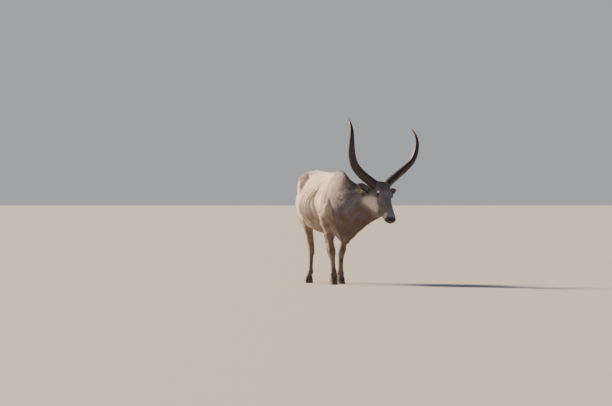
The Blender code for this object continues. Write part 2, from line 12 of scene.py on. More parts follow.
import bmesh
import bpy
import numpy as np
from mathutils import Matrix, Vector
from mathutils.kdtree import KDTree

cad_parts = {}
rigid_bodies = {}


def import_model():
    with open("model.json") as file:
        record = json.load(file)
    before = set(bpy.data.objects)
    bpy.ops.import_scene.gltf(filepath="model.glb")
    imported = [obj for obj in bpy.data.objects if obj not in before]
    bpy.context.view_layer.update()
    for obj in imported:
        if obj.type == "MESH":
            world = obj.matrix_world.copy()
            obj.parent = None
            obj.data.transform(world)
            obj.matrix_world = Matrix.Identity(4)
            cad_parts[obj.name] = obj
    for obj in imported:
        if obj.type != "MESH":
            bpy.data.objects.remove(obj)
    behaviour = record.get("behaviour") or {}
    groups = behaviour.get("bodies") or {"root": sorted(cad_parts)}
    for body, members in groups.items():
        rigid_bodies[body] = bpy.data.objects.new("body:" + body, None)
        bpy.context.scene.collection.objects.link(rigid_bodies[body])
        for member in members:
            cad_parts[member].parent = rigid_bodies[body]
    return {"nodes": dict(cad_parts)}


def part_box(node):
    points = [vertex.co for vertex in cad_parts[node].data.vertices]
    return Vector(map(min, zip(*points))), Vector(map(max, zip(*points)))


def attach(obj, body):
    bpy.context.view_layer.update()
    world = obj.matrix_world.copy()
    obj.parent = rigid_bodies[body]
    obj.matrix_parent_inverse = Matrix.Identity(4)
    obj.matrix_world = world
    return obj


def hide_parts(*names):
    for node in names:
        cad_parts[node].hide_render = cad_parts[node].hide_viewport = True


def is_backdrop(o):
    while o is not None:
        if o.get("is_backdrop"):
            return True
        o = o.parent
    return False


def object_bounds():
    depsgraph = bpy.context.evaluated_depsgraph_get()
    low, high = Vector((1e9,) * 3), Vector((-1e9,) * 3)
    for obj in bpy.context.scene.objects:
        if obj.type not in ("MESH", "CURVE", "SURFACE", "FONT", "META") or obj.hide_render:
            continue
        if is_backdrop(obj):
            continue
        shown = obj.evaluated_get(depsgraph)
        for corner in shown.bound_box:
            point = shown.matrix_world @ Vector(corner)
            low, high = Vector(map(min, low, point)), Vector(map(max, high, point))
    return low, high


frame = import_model()
CAD_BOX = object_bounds()
print("solids:", len(frame["nodes"]))

# %% [markdown]
# ## Where the body stands
# The forms below are written on the body's own axes, whose origin is under the withers.
# The solids are centred on their whole box instead, which the turned head pulls to one side.
# An eye is a round ball, so the middle of its box is its true middle, and the step between
# the two places of that one point carries every form to where its solid is.

# %% Head axes and the step to the solids
POLL = Vector((0.355, -0.945, 1.190))
HEAD_YAW = math.radians(21)
HEAD_ROLL = math.radians(7)
HEAD_PITCH = math.radians(60)
HEAD_FORWARD = 0.036
EYE = Vector((0.094, -0.158, -0.048))
EYE_RADIUS = 0.0185
UPRIGHT = (Matrix.Translation(POLL) @ Matrix.Rotation(HEAD_YAW, 4, "Z")
           @ Matrix.Rotation(HEAD_ROLL, 4, "Y"))
HEAD_AXES = (UPRIGHT @ Matrix.Rotation(HEAD_PITCH, 4, "X")
             @ Matrix.Translation((0, 0, HEAD_FORWARD)))
eye_low, eye_high = (Vector(corner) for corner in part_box("eye_left"))
SHIFT = (eye_low + eye_high) / 2 - HEAD_AXES @ EYE
STEP = np.array(SHIFT)
print("step from body to solids:", STEP.round(4))

# %% [markdown]
# ## Camera
# A long lens far away, level with the middle of the flank, looks a little from the front
# right. A long lens keeps the near and far legs at nearly one size, as in the photograph.

# %% Camera
CAMERA_TURN = math.radians(17)
CAMERA_AWAY = 38.0
CAMERA_HEIGHT = 0.97
PIXELS_PER_METRE = 83.0
PICTURE_WIDTH = 612
SENSOR = 36.0
VIEW_MIDDLE = -0.277
VIEW_END = 2000
screen_right = Vector((math.cos(CAMERA_TURN), -math.sin(CAMERA_TURN), 0))
view_ahead = Vector((math.sin(CAMERA_TURN), math.cos(CAMERA_TURN), 0))
camera_data = bpy.data.cameras.new("camera")
camera_data.sensor_width = SENSOR
camera_data.lens = SENSOR * PIXELS_PER_METRE * CAMERA_AWAY / PICTURE_WIDTH
camera_data.clip_end = VIEW_END
camera = bpy.data.objects.new("camera", camera_data)
camera.location = SHIFT + screen_right * VIEW_MIDDLE - view_ahead * CAMERA_AWAY
camera.location.z = CAMERA_HEIGHT
camera.rotation_euler = (math.radians(90), 0, -CAMERA_TURN)
bpy.context.collection.objects.link(camera)
bpy.context.scene.camera = camera
print("lens:", round(camera_data.lens, 1), "mm")

# %% [markdown]
# ## Light and floor
# In the photograph a low warm sun stands at the viewer's left, so the flank is bright and the
# shoulder, neck and face are in a cool, soft shade. A warm key lamp at the left plays the sun
# and is softened like a large panel's, a cool one at the right fills the shade, and the room
# round the ox is a plain pale grey. Lamps that are far away light the whole floor evenly.

# %% Colours from hex
def colour(hex_text):
    """An sRGB hex colour as the linear values that a shader works in."""
    parts = [int(hex_text[i:i + 2], 16) / 255 for i in (0, 2, 4)]
    linear = [c / 12.92 if c <= 0.04045 else ((c + 0.055) / 1.055) ** 2.4 for c in parts]
    return (*linear, 1.0)


def soft_lamp(name, direction, strength, spread, tint):
    """A far, wide lamp: its light comes from a direction, softened over an angle."""
    lamp_data = bpy.data.lights.new(name, "SUN")
    lamp_data.energy = strength
    lamp_data.angle = math.radians(spread)
    lamp_data.color = colour(tint)[:3]
    lamp = bpy.data.objects.new(name, lamp_data)
    lamp.rotation_euler = direction.to_track_quat("Z", "Y").to_euler()
    bpy.context.collection.objects.link(lamp)


print("mid grey is", round(colour("808080")[0], 3), "as a linear value")

# %% [markdown]
# A material is a tree of nodes, and one function adds any kind of them. It takes the values of
# properties and sockets, and what is linked to sockets. Where a whole node is linked, its first
# output in use is meant. The two colours of a Mix node are its sockets 6 and 7.

# %% Nodes
def adjust(target, settings=None, links=None):
    """Sets a node's properties and sockets, and links its sockets to other nodes."""
    for name, value in (settings or {}).items():
        if isinstance(name, str) and hasattr(target, name):
            setattr(target, name, value)
        else:
            target.inputs[name].default_value = value
    for name, source in (links or {}).items():
        if isinstance(source, bpy.types.Node):
            source = next(output for output in source.outputs if output.enabled)
        target.id_data.links.new(source, target.inputs[name])


def node(tree, kind, settings=None, links=None):
    """Adds a node to a tree, with its settings and links."""
    made = tree.nodes.new("ShaderNode" + kind)
    adjust(made, settings, links)
    return made


def new_material(name):
    """An empty material with its shader and the tree that the nodes go in."""
    made = bpy.data.materials.new(name)
    made.use_nodes = True
    return made, made.node_tree, made.node_tree.nodes["Principled BSDF"]


print("nodes are added by one function")

# %% [markdown]
# The lamps stand in for large soft panels. The world is a pale backdrop up to a little above
# the ox, and a darker room over it, so the shade on the far side keeps its depth.

# %% Light
# Where each lamp stands, as shares of right, ahead and up, its strength, spread and colour
LAMPS = {
    "warm_key": (-1.0, 0.70, 0.60, 12.5, 8, "ffdfba"),
    "cool_fill": (0.6, -1.0, 0.60, 0.34, 60, "b4c6ff"),
    "top_fill": (0.0, 0.20, 1.0, 0.40, 60, "dfe8ff"),
}
up = Vector((0, 0, 1))
for name, (right, ahead, above, strength, spread, hue) in LAMPS.items():
    soft_lamp(name, screen_right * right + view_ahead * ahead + up * above, strength, spread, hue)
BACKDROP = colour("eceef1")
ROOM = colour("6f7684")
BAND_LOW = 0.10
BAND_HIGH = 0.45
ROOM_STRENGTH = 0.50
world = bpy.data.worlds.new("studio")
world.use_nodes = True
sky = world.node_tree
toward = node(sky, "TexCoord").outputs["Generated"]
height = node(sky, "SeparateXYZ", links={"Vector": toward}).outputs["Z"]
band = node(sky, "MapRange", {"From Min": BAND_LOW, "From Max": BAND_HIGH}, {"Value": height})
wall = node(sky, "Mix", {"data_type": "RGBA", 6: BACKDROP, 7: ROOM}, {"Factor": band})
adjust(sky.nodes["Background"], {"Strength": ROOM_STRENGTH}, {"Color": wall})
bpy.context.scene.world = world
print("lamps:", len(bpy.data.lights))

# %% [markdown]
# A studio floor is a wide pale sheet. It starts as a circle whose rim is turned down a little,
# so that it has an edge like a real platform, and it is so wide that its rim is far away.

# %% Floor
FLOOR_RADIUS = 1200.0
FLOOR_EDGE = 0.05
FLOOR_SIDES = 96


def select_only(*objects):
    """Selects these objects and nothing else, and makes the first one active."""
    for each in bpy.context.view_layer.objects:
        each.select_set(False)
    for each in objects:
        each.select_set(True)
    bpy.context.view_layer.objects.active = objects[0] if objects else None


select_only()
bpy.ops.mesh.primitive_circle_add(vertices=FLOOR_SIDES, radius=FLOOR_RADIUS, fill_type="NGON")
floor = bpy.context.object
floor.name = "studio_floor"
bpy.ops.object.mode_set(mode="EDIT")
bpy.ops.mesh.extrude_region_move(TRANSFORM_OT_translate={"value": (0, 0, -FLOOR_EDGE)})
bpy.ops.mesh.select_all(action="SELECT")
bpy.ops.mesh.normals_make_consistent(inside=False)
bpy.ops.object.mode_set(mode="OBJECT")
top_faces = [face for face in floor.data.polygons if face.center.z > -FLOOR_EDGE / 2]
print("floor faces:", len(floor.data.polygons), "facing up:", len(top_faces))
floor_paint, tree, shader = new_material("matt_studio_paint")
adjust(shader, {"Base Color": colour("b6b7b8"), "Roughness": 0.9, "Specular IOR Level": 0.2})
floor.data.materials.append(floor_paint)
floor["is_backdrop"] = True

# %% [markdown]
# ## Forms of the body
# An animal has no flat or turned faces to start from, so its forms are lofts: outlines at
# stations along a path, with smooth curves between them. The tables are the ones that the
# solids were made from, read here in finer steps, so the skin lies just inside the solids.
# Only the neck's last outline ends a little higher, so that no corner shows under the jaw.
# Lofts, and oval lumps of muscle and bone, pass through each other. Later one remesh turns
# them all into a single closed skin.

# %% Curves and lofts
LEVELS = (0.05, 0.20, 0.45, 0.70, 0.92)


def along(rows, keys, at):
    """Smooth values between rows, one row for each key, read at the given places."""
    rows = np.array(rows, float)
    keys = np.array(keys, float)
    slopes = np.diff(rows, axis=0) / np.diff(keys)[:, None]
    tangents = np.vstack([slopes[:1], (slopes[1:] + slopes[:-1]) / 2, slopes[-1:]])
    i = np.clip(np.searchsorted(keys, at, side="right") - 1, 0, len(keys) - 2)
    span = (keys[i + 1] - keys[i])[:, None]
    t = (np.array(at) - keys[i])[:, None] / span
    start = (2 * t**3 - 3 * t**2 + 1) * rows[i] + (t**3 - 2 * t**2 + t) * span * tangents[i]
    end = (3 * t**2 - 2 * t**3) * rows[i + 1] + (t**3 - t**2) * span * tangents[i + 1]
    return start + end


def in_metres(rows):
    """A table's rows of millimetres as rows of metres."""
    return [tuple(value / 1000 for value in row) for row in rows]


def even_path(rows, count):
    """A smooth path through a few rows, as count rows."""
    return along(rows, range(len(rows)), np.linspace(0, len(rows) - 1, count))


def closed_curve(points, count):
    """A smooth closed curve through the points, as count new points."""
    points = np.array(points, float)
    ring = np.vstack([points[-2:], points, points[:3]])
    at = np.arange(count) / count * len(points)
    return along(ring, np.arange(-2, len(points) + 3), at)


def mesh_object(name, verts, faces):
    """A new object from points and faces."""
    mesh = bpy.data.meshes.new(name)
    mesh.from_pydata([tuple(v) for v in verts], [], faces)
    made = bpy.data.objects.new(name, mesh)
    bpy.context.collection.objects.link(made)
    return made


def loft(name, rings):
    """A closed skin over rings of equal counts, with a fan of faces on each end."""
    count = len(rings[0])
    verts = list(np.vstack(rings))
    verts += [rings[0].mean(axis=0), rings[-1].mean(axis=0)]
    faces = []
    for r in range(len(rings) - 1):
        for k in range(count):
            a, b = r * count + k, r * count + (k + 1) % count
            faces.append((a, b, b + count, a + count))
    last = (len(rings) - 1) * count
    for k in range(count):
        faces.append((len(verts) - 2, (k + 1) % count, k))
        faces.append((len(verts) - 1, last + k, last + (k + 1) % count))
    made = mesh_object(name, verts, faces)
    bm = bmesh.new()
    bm.from_mesh(made.data)
    bmesh.ops.recalc_face_normals(bm, faces=bm.faces)
    bm.to_mesh(made.data)
    bm.free()
    return made


print("levels of an outline:", LEVELS)

# %% [markdown]
# The trunk and neck are one form of upright outlines along a path that turns left at the
# throat. A row holds the path's x and y, the top, the bottom, and half widths at five levels.
# The head is made in the same way along the face, and then tilted into place. Its rows hold
# the way down the face, the top, the bottom, and the same five half widths. All of these
# tables are in millimetres.

# %% Trunk, neck and head
BODY = in_metres([
    (0, 820, 1200, 1020, 30, 50, 60, 50, 30),
    (0, 775, 1290, 930, 55, 100, 120, 100, 50),
    (0, 700, 1335, 850, 95, 155, 178, 155, 70),
    (0, 600, 1357, 790, 130, 205, 218, 190, 80),
    (0, 510, 1365, 755, 145, 232, 230, 200, 90),
    (0, 440, 1362, 725, 130, 232, 232, 205, 105),
    (0, 350, 1352, 658, 85, 190, 246, 222, 120),
    (0, 230, 1343, 616, 66, 184, 302, 282, 160),
    (0, 80, 1335, 606, 62, 190, 335, 314, 170),
    (0, -80, 1331, 602, 58, 187, 325, 306, 160),
    (0, -220, 1332, 600, 52, 160, 275, 255, 130),
    (0, -340, 1345, 600, 48, 138, 235, 218, 115),
    (0, -460, 1345, 560, 46, 126, 208, 192, 100),
    (0, -560, 1346, 500, 45, 118, 180, 158, 75),
    (8, -640, 1307, 478, 42, 108, 155, 122, 55),
    (38, -715, 1249, 520, 40, 101, 132, 90, 42),
    (95, -785, 1201, 595, 38, 98, 117, 68, 35),
    (165, -845, 1180, 672, 38, 96, 108, 60, 33),
    (240, -895, 1178, 738, 40, 94, 103, 62, 34),
    (315, -940, 1175, 786, 40, 88, 94, 68, 36),
    (358, -985, 1060, 816, 30, 56, 58, 32, 15),
])
HEAD = in_metres([
    (-45, -35, -110, 30, 50, 55, 45, 25),
    (-20, -5, -150, 70, 92, 92, 78, 48),
    (30, 8, -172, 82, 100, 98, 84, 50),
    (80, 8, -188, 74, 99, 98, 84, 50),
    (140, 3, -205, 72, 106, 99, 82, 50),
    (185, 0, -218, 64, 98, 94, 80, 52),
    (240, 2, -230, 53, 80, 86, 78, 58),
    (300, 6, -208, 44, 65, 73, 68, 52),
    (360, 8, -174, 41, 58, 64, 58, 43),
    (420, 6, -142, 43, 60, 63, 54, 38),
    (455, 0, -126, 47, 66, 68, 56, 37),
    (488, -12, -110, 46, 64, 65, 51, 32),
    (510, -30, -92, 28, 44, 45, 34, 20),
])


# How many outlines a form has, and how many points there are round each
BODY_RINGS, BODY_SIDES = 170, 120
HEAD_RINGS, HEAD_SIDES = 120, 100


def path_across(path, k):
    """The level direction across a plan path at its kth row."""
    ahead = path[min(k + 1, len(path) - 1)][:2] - path[max(k - 1, 0)][:2]
    return np.array((-ahead[1], ahead[0])) / np.linalg.norm(ahead)


def sections(name, rows, rings, sides, place=None):
    """A form of upright outlines across a path in plan, as a trunk or a head has."""
    steps = [math.dist(a[:2], b[:2]) for a, b in zip(rows, rows[1:])]
    keys = np.concatenate([[0.0], np.cumsum(steps)])
    path = along(rows, keys, np.linspace(0.0, keys[-1], rings))
    made = []
    for k, row in enumerate(path):
        x, y, top, bottom = row[:4]
        right = [(w, top + (bottom - top) * level) for w, level in zip(row[4:], LEVELS)]
        left = [(-w, z) for w, z in reversed(right)]
        outline = closed_curve([(0, top), *right, (0, bottom), *left], sides)
        plan = np.array((x, y)) + outline[:, :1] * path_across(path, k)
        made.append(np.column_stack([plan, outline[:, 1]]))
    form = loft(name, made)
    if place is not None:
        form.data.transform(place)
    return form


forms = [sections("body_form", BODY, BODY_RINGS, BODY_SIDES)]
head_rows = [(0.0, -d, *rest) for d, *rest in HEAD]
forms.append(sections("head_form", head_rows, HEAD_RINGS, HEAD_SIDES, HEAD_AXES))
print("trunk and head:", [len(form.data.polygons) for form in forms], "faces")

# %% [markdown]
# ## Legs
# A leg is a column of level ovals. Each is first written for a square stance, and then leaned
# and bowed below the shoulder or the stifle, so that its foot stands where the solid's does.
# On thin skin the tendons show: a groove runs down each side of the cannon bone in front of
# them, the heel bone of the hock stands out behind, and the knee is broad and flat in front.
# The ovals take these as small changes of radius by height and direction.

# %% Legs
FEET = {
    "fore_right": (-0.104, -0.520), "fore_left": (0.078, -0.240),
    "hind_right": (-0.155, 0.330), "hind_left": (0.178, 0.335),
}
# How far each leg bows out halfway, its pastern stands out, and its toes turn out in degrees
BOW = {"fore_right": 0.000, "fore_left": -0.028, "hind_right": 0.000, "hind_left": 0.064}
PASTERN_OUT = {"fore_right": 0.018, "fore_left": 0.000, "hind_right": 0.018, "hind_left": 0.000}
TOE_OUT = {"fore_right": 10, "fore_left": 10, "hind_right": 40, "hind_left": 12}
# Ovals of a leg in millimetres: height, x and y of the middle, half widths across and along
FORELEG = in_metres([
    (1240, 75, -360, 35, 90),
    (1140, 115, -380, 60, 125),
    (1020, 155, -430, 75, 145),
    (900, 172, -455, 80, 150),
    (800, 175, -440, 78, 135),
    (720, 165, -400, 64, 108),
    (640, 148, -385, 53, 78),
    (560, 137, -385, 47, 61),
    (490, 130, -385, 42, 49),
    (445, 125, -387, 44, 47),
    (405, 122, -388, 46, 48),
    (365, 120, -384, 43, 43),
    (330, 120, -381, 37, 37),
    (260, 120, -380, 33, 35),
    (200, 120, -380, 33, 36),
    (160, 120, -382, 37, 40),
    (130, 120, -385, 43, 45),
    (100, 120, -395, 38, 40),
    (70, 120, -405, 43, 47),
    (40, 120, -413, 49, 54),
    (12, 120, -415, 50, 57),
])
HINDLEG = in_metres([
    (1200, 100, 520, 70, 160),
    (1080, 135, 530, 85, 190),
    (960, 155, 520, 85, 195),
    (860, 162, 485, 80, 175),
    (780, 163, 450, 70, 150),
    (700, 150, 440, 58, 115),
    (620, 128, 470, 47, 85),
    (540, 103, 512, 39, 63),
    (480, 85, 545, 35, 56),
    (435, 78, 555, 37, 58),
    (400, 79, 550, 38, 53),
    (360, 84, 535, 35, 43),
    (310, 93, 520, 31, 36),
    (240, 106, 500, 29, 34),
    (180, 118, 482, 31, 35),
    (140, 126, 465, 38, 43),
    (105, 134, 450, 37, 40),
    (70, 141, 437, 43, 47),
    (40, 145, 430, 49, 54),
    (12, 145, 430, 50, 57),
])
# A leg leans from its swing height down to its ankle, and its pastern stands out from one
# height down to the hoof
FORE_SWING_Z = 0.80
HIND_SWING_Z = 0.86
ANKLE_Z = 0.05
PASTERN_Z = 0.17
HOOF_Z = 0.07
# The hoof's upper edge at its toe and heel, and how far the flesh reaches down into it
CORONET_TOE_Z = 0.074
CORONET_HEEL_Z = 0.046
CORONET_TUCK = 0.004
CLAW_LENGTH = 0.112
LEG_RINGS = 260
LEG_SIDES = 64

# Changes of radius: height and its spread, direction toward the front and toward the outer
# side, how narrow the direction is, and the share of the radius
FORE_RELIEF = [
    (0.405, 0.035, 1.0, 0.0, 0.9, 0.10),
    (0.425, 0.022, -1.0, 0.0, 0.8, 0.20),
    (0.360, 0.020, -1.0, 0.3, 0.9, 0.08),
    (0.255, 0.075, -0.15, 1.0, 0.5, -0.15),
    (0.255, 0.075, -0.15, -1.0, 0.5, -0.15),
    (0.250, 0.080, -1.0, 0.0, 0.6, 0.16),
    (0.135, 0.022, -0.7, 0.7, 0.7, 0.13),
    (0.135, 0.022, -0.7, -0.7, 0.7, 0.13),
    (0.600, 0.110, 0.55, 0.8, 0.4, -0.07),
    (0.620, 0.120, 0.95, 0.3, 0.5, 0.06),
    (0.610, 0.100, -0.6, 0.8, 0.5, -0.06),
]
HIND_RELIEF = [
    (0.485, 0.030, -1.0, 0.0, 0.6, 0.16),
    (0.575, 0.065, -0.55, 0.8, 0.5, -0.26),
    (0.575, 0.065, -0.55, -0.8, 0.5, -0.26),
    (0.415, 0.030, 0.3, 1.0, 0.8, 0.08),
    (0.415, 0.030, 0.3, -1.0, 0.8, 0.08),
    (0.250, 0.080, -0.15, 1.0, 0.5, -0.20),
    (0.250, 0.080, -0.15, -1.0, 0.5, -0.20),
    (0.240, 0.090, -1.0, 0.0, 0.6, 0.14),
    (0.140, 0.022, -0.7, 0.7, 0.7, 0.13),
    (0.140, 0.022, -0.7, -0.7, 0.7, 0.13),
    (0.640, 0.060, 0.7, 0.7, 0.5, -0.06),
]


LEG_TABLES = {"fore": (FORELEG, FORE_RELIEF, FORE_SWING_Z), "hind": (HINDLEG, HIND_RELIEF, HIND_SWING_Z)}


def side_of(foot_name):
    """1 for a left foot and -1 for a right one."""
    return 1 if foot_name.endswith("left") else -1


def toe_turn(foot_name):
    """The angle that a foot is turned by, seen from above."""
    return math.radians(side_of(foot_name) * TOE_OUT[foot_name])


def behind_foot(foot_name, x, y):
    """How far behind the middle of its foot a place is."""
    foot, turn = FEET[foot_name], toe_turn(foot_name)
    return (x - foot[0]) * -math.sin(turn) + (y - foot[1]) * math.cos(turn)


def relief(table, z, front, outward):
    """How much larger than its oval a leg is, at a height and in each direction."""
    grown = np.ones(len(front))
    for height, spread, to_front, to_side, narrow, share in table:
        size = math.hypot(to_front, to_side)
        apart = 1 - (front * to_front + outward * to_side) / size
        level = math.exp(-((z - height) / spread) ** 2)
        grown += share * level * np.exp(-apart / (narrow * narrow * 0.5))
    return grown


def coronet(foot_name, x, y):
    """The height of the hoof's upper edge at a place, high at the toe and low at the heel."""
    share = np.clip(behind_foot(foot_name, x, y) / CLAW_LENGTH + 0.5, -0.2, 1.2)
    return CORONET_TOE_Z + (CORONET_HEEL_Z - CORONET_TOE_Z) * share


def leaned(foot_name, x, y, z, end, swing_z):
    """A leg's middle at a height, once it is leaned and bowed to end at its foot."""
    side, foot, kick = side_of(foot_name), FEET[foot_name], PASTERN_OUT[foot_name]
    lean = min(max((swing_z - z) / (swing_z - ANKLE_Z), 0.0), 1.0)
    low = min(max((PASTERN_Z - z) / (PASTERN_Z - HOOF_Z), 0.0), 1.0)
    bowed = side * (x + BOW[foot_name] * math.sin(math.pi * lean))
    x = bowed + lean * (foot[0] - side * (end[0] + kick)) + side * kick * low * low * (3 - 2 * low)
    return x, y + lean * (foot[1] - end[1])


def limb(foot_name):
    """A leg of level ovals that ends at its foot."""
    rows, table, swing_z = LEG_TABLES[foot_name[:4]]
    rows = sorted(rows)
    keys = [row[0] for row in rows]
    angles = np.arange(LEG_SIDES) / LEG_SIDES * 2 * math.pi
    made = []
    for z, x, y, wide, deep in along(rows, keys, np.linspace(keys[0], keys[-1], LEG_RINGS)):
        x, y = leaned(foot_name, x, y, z, rows[0][1:3], swing_z)
        grown = relief(table, z, -np.sin(angles), side_of(foot_name) * np.cos(angles))
        ring_x = x + wide * np.cos(angles) * grown
        ring_y = y + deep * np.sin(angles) * grown
        ring_z = np.maximum(z, coronet(foot_name, ring_x, ring_y) - CORONET_TUCK)
        made.append(np.column_stack([ring_x, ring_y, ring_z]))
    return loft(foot_name + "_form", made)


forms += [limb(foot_name) for foot_name in FEET]
print("forms so far:", len(forms))

# %% [markdown]
# ## Tail, ears and lumps of muscle and bone
# A tail and an ear are tubes of ovals swept along a path. The ear is made thick at first,
# because a remesh loses thin sheets, and it is hollowed out when the skin is sculpted.

# %% Tail, ears and lumps
# Ovals of a tube in millimetres: place and two radii. An ear's places are out, back and up
TAIL = in_metres([
    (0, 740, 1260, 40, 40),
    (3, 810, 1245, 36, 36),
    (10, 862, 1170, 28, 28),
    (32, 876, 1050, 24, 24),
    (40, 876, 900, 21, 21),
    (44, 870, 750, 19, 19),
    (46, 866, 640, 19, 19),
    (46, 864, 560, 19, 19),
])
EAR = in_metres([
    (70, 74, -116, 17, 17),
    (108, 72, -104, 19, 21),
    (145, 70, -88, 15, 33),
    (190, 70, -68, 11, 41),
    (230, 72, -50, 9, 37),
    (262, 72, -37, 7, 24),
    (285, 72, -29, 4, 6),
])
# Middle and radii of the hook bone, the pin bone, the elbow and the stifle
LUMPS = [
    ((0.130, 0.480, 1.235), (0.094, 0.130, 0.098)),
    ((0.090, 0.750, 1.190), (0.050, 0.052, 0.046)),
    ((0.165, -0.330, 0.730), (0.048, 0.060, 0.065)),
    ((0.170, 0.350, 0.765), (0.056, 0.065, 0.075)),
]
HUMP = ((0.0, -0.430, 1.265), (0.062, 0.175, 0.102))
SHEATH = ((0.0, 0.110, 0.585), (0.026, 0.044, 0.086))
SHEATH_TILT = math.radians(-20)
# Middle and radii of the brow and of the cheek muscle
HEAD_LUMPS = [
    ((0.078, -0.142, -0.020), (0.030, 0.042, 0.024)),
    ((0.066, -0.205, -0.135), (0.030, 0.085, 0.070)),
]
TAIL_RINGS, TAIL_SIDES = 80, 32
EAR_RINGS, EAR_SIDES = 60, 48
LUMP_SUBDIVISIONS = 5


def sweep(name, rows, rings, sides, up):
    """A tube of ovals across a smooth path, the second radius lying nearest to up."""
    path = even_path(rows, rings)
    angles = np.arange(sides) / sides * 2 * math.pi
    made = []
    for k, row in enumerate(path):
        ahead = Vector(path[min(k + 1, rings - 1)][:3]) - Vector(path[max(k - 1, 0)][:3])
        ahead.normalize()
        across = ahead.cross(up).normalized()
        over = across.cross(ahead)
        wide = np.outer(np.cos(angles), np.array(across)) * row[3]
        tall = np.outer(np.sin(angles), np.array(over)) * row[4]
        made.append(np.array(row[:3]) + wide + tall)
    return loft(name, made)


def lump(spec, side=1, place=None, tilt=0.0):
    """A smooth oval ball, mirrored to the right where side is -1."""
    middle, radii = spec
    select_only()
    bpy.ops.mesh.primitive_ico_sphere_add(subdivisions=LUMP_SUBDIVISIONS, radius=1.0)
    made = bpy.context.object
    where = Matrix.Translation((side * middle[0], middle[1], middle[2]))
    whole = where @ Matrix.Rotation(tilt, 4, "X") @ Matrix.Diagonal((*radii, 1.0))
    made.data.transform(place @ whole if place is not None else whole)
    return made


def upright_rows(rows, side):
    """Rows of outward, back, up and radii from the poll, as places on one side."""
    return [(*(UPRIGHT @ Vector((side * out, back, above))), *radii) for out, back, above, *radii in rows]


head_up = UPRIGHT.to_3x3() @ Vector((0, 0, 1))
forms.append(sweep("tail_form", TAIL, TAIL_RINGS, TAIL_SIDES, Vector((1, 0, 0))))
forms.append(lump(HUMP))
forms.append(lump(SHEATH, tilt=SHEATH_TILT))
for side in (-1, 1):
    forms.append(sweep("ear_form", upright_rows(EAR, side), EAR_RINGS, EAR_SIDES, head_up))
    forms += [lump(spec, side) for spec in LUMPS]
    forms += [lump(spec, side, HEAD_AXES) for spec in HEAD_LUMPS]
print("forms in all:", len(forms))

# %% [markdown]
# ## One skin
# The forms are joined as they are, and a voxel remesh draws one closed skin round all of
# them. Its cubes leave small steps, so it is then softened. A Boolean union would also join
# the forms, but it would leave a sharp crease at each meeting, where flesh has none.

# %% Join and remesh
VOXEL = 0.0045
SOFTENING = 14
SOFTEN_FACTOR = 0.5


def apply_all(target):
    """Applies a mesh object's modifiers in their order."""
    select_only(target)
    for modifier in list(target.modifiers):
        bpy.ops.object.modifier_apply(modifier=modifier.name)


select_only(*forms)
bpy.ops.object.join()
skin = bpy.context.object
skin.name = "skin"
remesh = skin.modifiers.new("one_skin", "REMESH")
remesh.mode = "VOXEL"
remesh.voxel_size = VOXEL
soften = skin.modifiers.new("soften", "SMOOTH")
soften.factor = SOFTEN_FACTOR
soften.iterations = SOFTENING
apply_all(skin)
print("skin:", len(skin.data.vertices), "points")

# %% [markdown]
# ## Sculpting the skin
# By hand this would be done with sculpt brushes. In code a brush is a rule: points near a path
# or a spot are lifted along their normals, most in its middle and not at all at its rim. The
# lifts of many strokes are added up and applied at once, so their order doesn't matter.
# A path is written in whichever view shows it best, such as the side view for the ribs.

# %% Brushes
def read_points(target):
    """A mesh's points and their normals, as two arrays."""
    found = []
    for what in ("co", "normal"):
        values = np.empty(len(target.data.vertices) * 3)
        target.data.vertices.foreach_get(what, values)
        found.append(values.reshape(-1, 3))
    return found


def write_points(target, spots):
    """Moves a mesh's points to new places."""
    target.data.vertices.foreach_set("co", spots.ravel())
    target.data.update()


def near_path(view, path, width):
    """Points near a path: which, how near from 0 to 1, and how far along it from 0 to 1."""
    path = np.array(path, float)
    inside = (view > path.min(axis=0) - width) & (view < path.max(axis=0) + width)
    near = np.flatnonzero(inside.all(axis=1))
    some = view[near]
    lengths = np.linalg.norm(np.diff(path, axis=0), axis=1)
    starts = np.concatenate([[0.0], np.cumsum(lengths)])
    best = np.full(len(near), np.inf)
    gone = np.zeros(len(near))
    for k, length in enumerate(lengths):
        line = path[k + 1] - path[k]
        t = np.clip((some - path[k]) @ line / (line @ line), 0, 1)
        apart = np.linalg.norm(some - path[k] - t[:, None] * line, axis=1)
        closer = apart < best
        best[closer] = apart[closer]
        gone[closer] = starts[k] + t[closer] * length
    return near, np.clip(1 - (best / width) ** 2, 0, 1) ** 2, gone / starts[-1]


def stroke(lift, view, path, width, height, where=None, taper=0.35):
    """Adds a ridge along a path, or a groove where height is below 0."""
    near, nearness, share = near_path(view, even_path(path, 4 * len(path)), width)
    ends = np.minimum(share, 1 - share) / max(taper, 1e-6)
    nearness = nearness * np.clip(ends, 0, 1) ** 0.7
    lift[near] += height * nearness * (1.0 if where is None else where[near])


def swell(lift, view, middle, radii, height, where=None):
    """Adds an oval swelling at a spot, or a hollow where height is below 0."""
    inside = np.abs(view - np.array(middle)) < np.array(radii)
    near = np.flatnonzero(inside.all(axis=1))
    apart = (((view[near] - np.array(middle)) / np.array(radii)) ** 2).sum(axis=1)
    nearness = np.clip(1 - apart, 0, 1) ** 2
    lift[near] += height * nearness * (1.0 if where is None else where[near])


def on_axes(axes, spots):
    """Points measured on other axes, which are given as a matrix."""
    back = np.array(axes.inverted())
    return spots @ back[:3, :3].T + back[:3, 3]


def off_axes(axes, local):
    """Points from other axes, measured on the body's own again."""
    matrix = np.array(axes)
    return local @ matrix[:3, :3].T + matrix[:3, 3]


def in_head(spots):
    """Points on the head's own axes: to its left, down the face, and out of the face."""
    return on_axes(HEAD_AXES, spots) * (1, -1, 1)


print("brushes: stroke and swell")

# %% [markdown]
# A lean ox shows its frame. Ten ribs run down and back over the barrel, with a hollow flank
# behind the last one. The hook bones of the hip and the pin bones by the tail stand out, and
# a sharp fold of skin runs from the hook to the stifle. On the shoulder the blade's spine is a
# long ridge between two shallow hollows, with the heavy upper arm muscle behind it.

